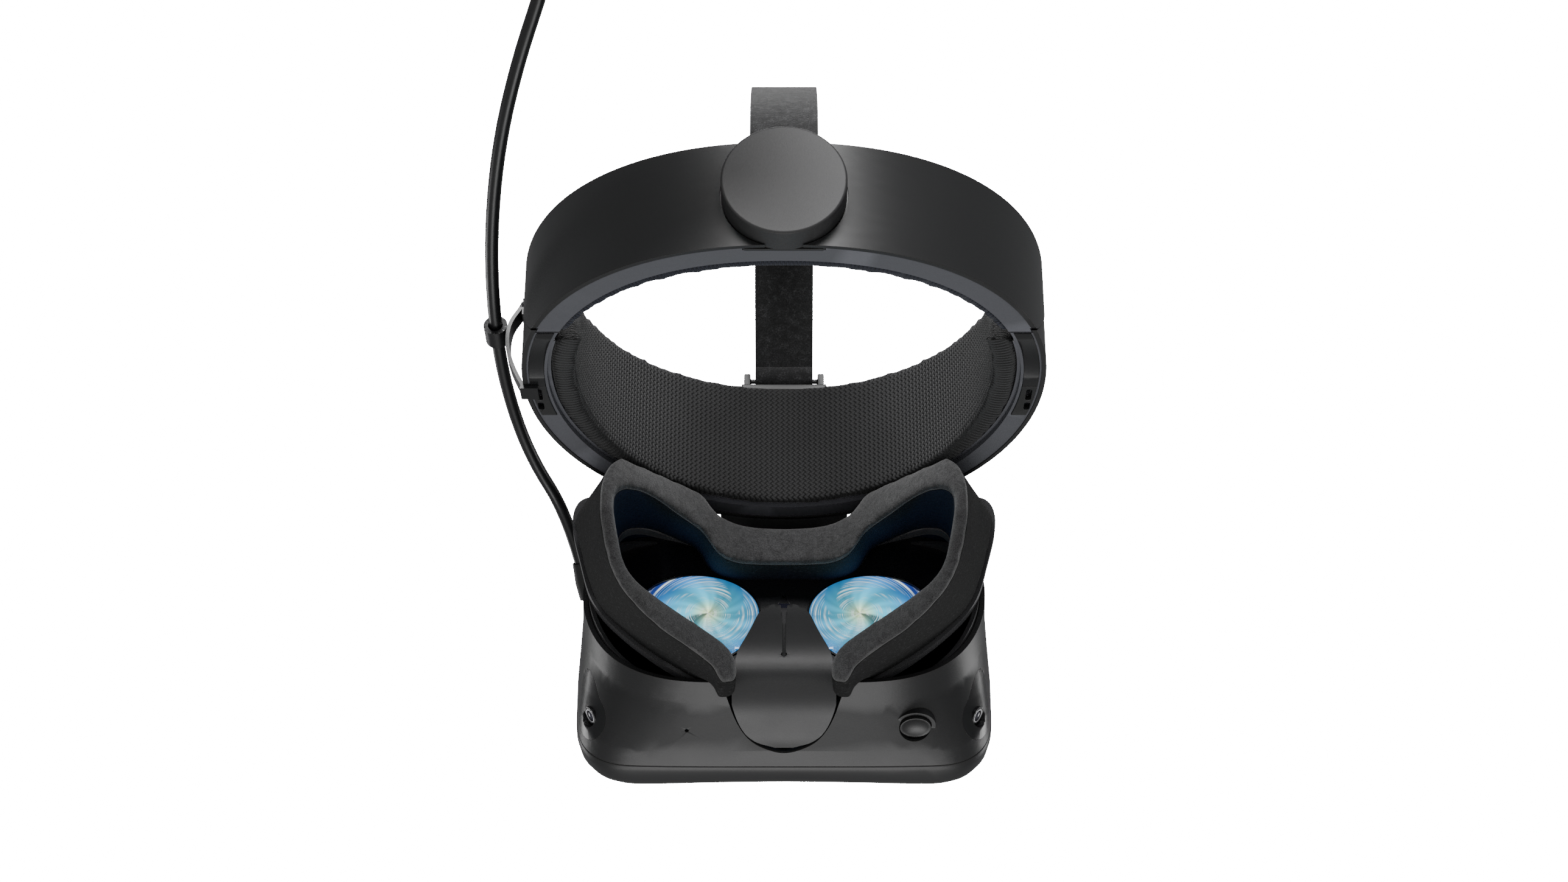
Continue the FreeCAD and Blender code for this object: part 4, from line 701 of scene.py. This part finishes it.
def lens_group():
    """Painted glow of the display's light in a ring-grooved lens: zones by radius, a fan of rays, painted
    highlight arcs, and groove height.
    """
    group, start, end = new_group("painted_lens_glow", [("Side", "Float", 1.0)],
                                  [("Colour", "Color"), ("Height", "Float")])
    axes = step(group, "SeparateXYZ", [("Vector", step(group, "TexCoord").outputs["Object"])])
    outward = sums(group, "MULTIPLY", axes.outputs["X"], start.outputs["Side"])
    x = sums(group, "SUBTRACT", outward, EYE_SPAN / 2.0)
    z = sums(group, "SUBTRACT", axes.outputs["Z"], EYE.z)
    square = sums(group, "ADD", sums(group, "MULTIPLY", x, x), sums(group, "MULTIPLY", z, z))
    reach = sums(group, "SQRT", square)
    turn = sums(group, "ARCTAN2", z, x)
    zone = step(group, "ValToRGB", [("Fac", sums(group, "DIVIDE", reach, 0.027))])
    zone.color_ramp.elements[0].color = (0.80, 0.88, 0.30, 1.0)
    zone.color_ramp.elements[1].color = (0.02, 0.05, 0.30, 1.0)
    for place, colour in ((0.14, (0.45, 0.85, 0.60)), (0.30, (0.08, 0.58, 0.78)),
                          (0.58, (0.05, 0.44, 0.74)), (0.78, (0.03, 0.24, 0.62))):
        zone.color_ramp.elements.new(place).color = (*colour, 1.0)
    fan = step(group, "TexNoise", Scale=1.0, Detail=2.0, noise_dimensions="1D")
    swirl = sums(group, "ADD", sums(group, "MULTIPLY", turn, 0.95), sums(group, "MULTIPLY", reach, 20.0))
    group.links.new(swirl, fan.inputs["W"])
    rays = step(group, "MapRange", [("Value", fan.outputs["Fac"])],
                From_Min=0.36, From_Max=0.66, To_Min=0.18, To_Max=1.5)
    lit = step(group, "MixRGB", [("Color1", zone.outputs["Color"]), ("Color2", rays.outputs["Result"])],
               blend_type="MULTIPLY", Fac=1.0)
    arcs = step(group, "TexNoise", Scale=1.0, Detail=6.0, Roughness=0.8, noise_dimensions="1D")
    group.links.new(sums(group, "MULTIPLY", reach, 520.0), arcs.inputs["W"])
    bright = step(group, "MapRange", [("Value", arcs.outputs["Fac"])], From_Min=0.50, From_Max=0.60)
    swing = step(group, "TexNoise", Scale=1.0, Detail=1.0, noise_dimensions="1D")
    drift = sums(group, "ADD", sums(group, "MULTIPLY", turn, 1.4), sums(group, "MULTIPLY", reach, 130.0))
    group.links.new(drift, swing.inputs["W"])
    part = step(group, "MapRange", [("Value", swing.outputs["Fac"])], From_Min=0.44, From_Max=0.60)
    painted_highlight = sums(group, "MULTIPLY", bright.outputs["Result"], part.outputs["Result"])
    shown = step(group, "MixRGB", [("Fac", painted_highlight), ("Color1", lit.outputs["Color"])],
                 Color2=(0.85, 1.0, 1.0, 1.0))
    grooves = sums(group, "SINE", sums(group, "MULTIPLY", reach, 2.0 * math.pi / 0.00055))
    group.links.new(shown.outputs["Color"], end.inputs["Colour"])
    group.links.new(grooves, end.inputs["Height"])
    return group


PAINTED_LENS_GLOW = lens_group()


def lens_material(side):
    """Clear lens with a coated face; the display's light from behind is painted on its face as emission."""
    material = plain_material("lens_" + ("left" if side > 0 else "right"), (0.05, 0.12, 0.16), 0.10,
                              Coat_Weight=1.0, Coat_Roughness=0.03, Emission_Strength=1.25)
    tree = material.node_tree
    shader = tree.nodes["Principled BSDF"]
    glow = use_group(tree, PAINTED_LENS_GLOW, Side=float(side))
    bump = step(tree, "Bump", [("Height", glow.outputs["Height"])], Strength=0.25, Distance=0.0001)
    # the painted glow and painted highlight arcs go into the emission colour
    tree.links.new(glow.outputs["Colour"], shader.inputs["Emission Color"])
    tree.links.new(bump.outputs["Normal"], shader.inputs["Normal"])
    return material


for side, name in ((1, "left"), (-1, "right")):
    lens = refined("lens_" + name, "lens_disc_" + name, lens_material(side), "visor", 0.0, angle=30.0)
# the nose flap's light rim is a strong painted edge highlight
flap_rubber = moulded("flap_rubber", (0.030, 0.030, 0.031), 0.40, grain=0.06, highlight_lift=4.0, edge_highlight=0.9)
refined("nose_flap", "nose_rubber", flap_rubber, "visor", 0.0003, angle=30.0)

# ---- display, its frame, board and light shields ----
# Behind the lens plate: one dark display panel in a frame, light shields between it and the
# lenses, and the main board.
display = moulded("display_dark", (0.015, 0.03, 0.05), 0.15, grain=0.01)
node_finish(display, "display_panel")
node_finish(plate_black, "display_frame", "light_shields")
board_green = moulded("board_green", (0.02, 0.10, 0.05), 0.45, grain=0.05)
node_finish(board_green, "main_board")
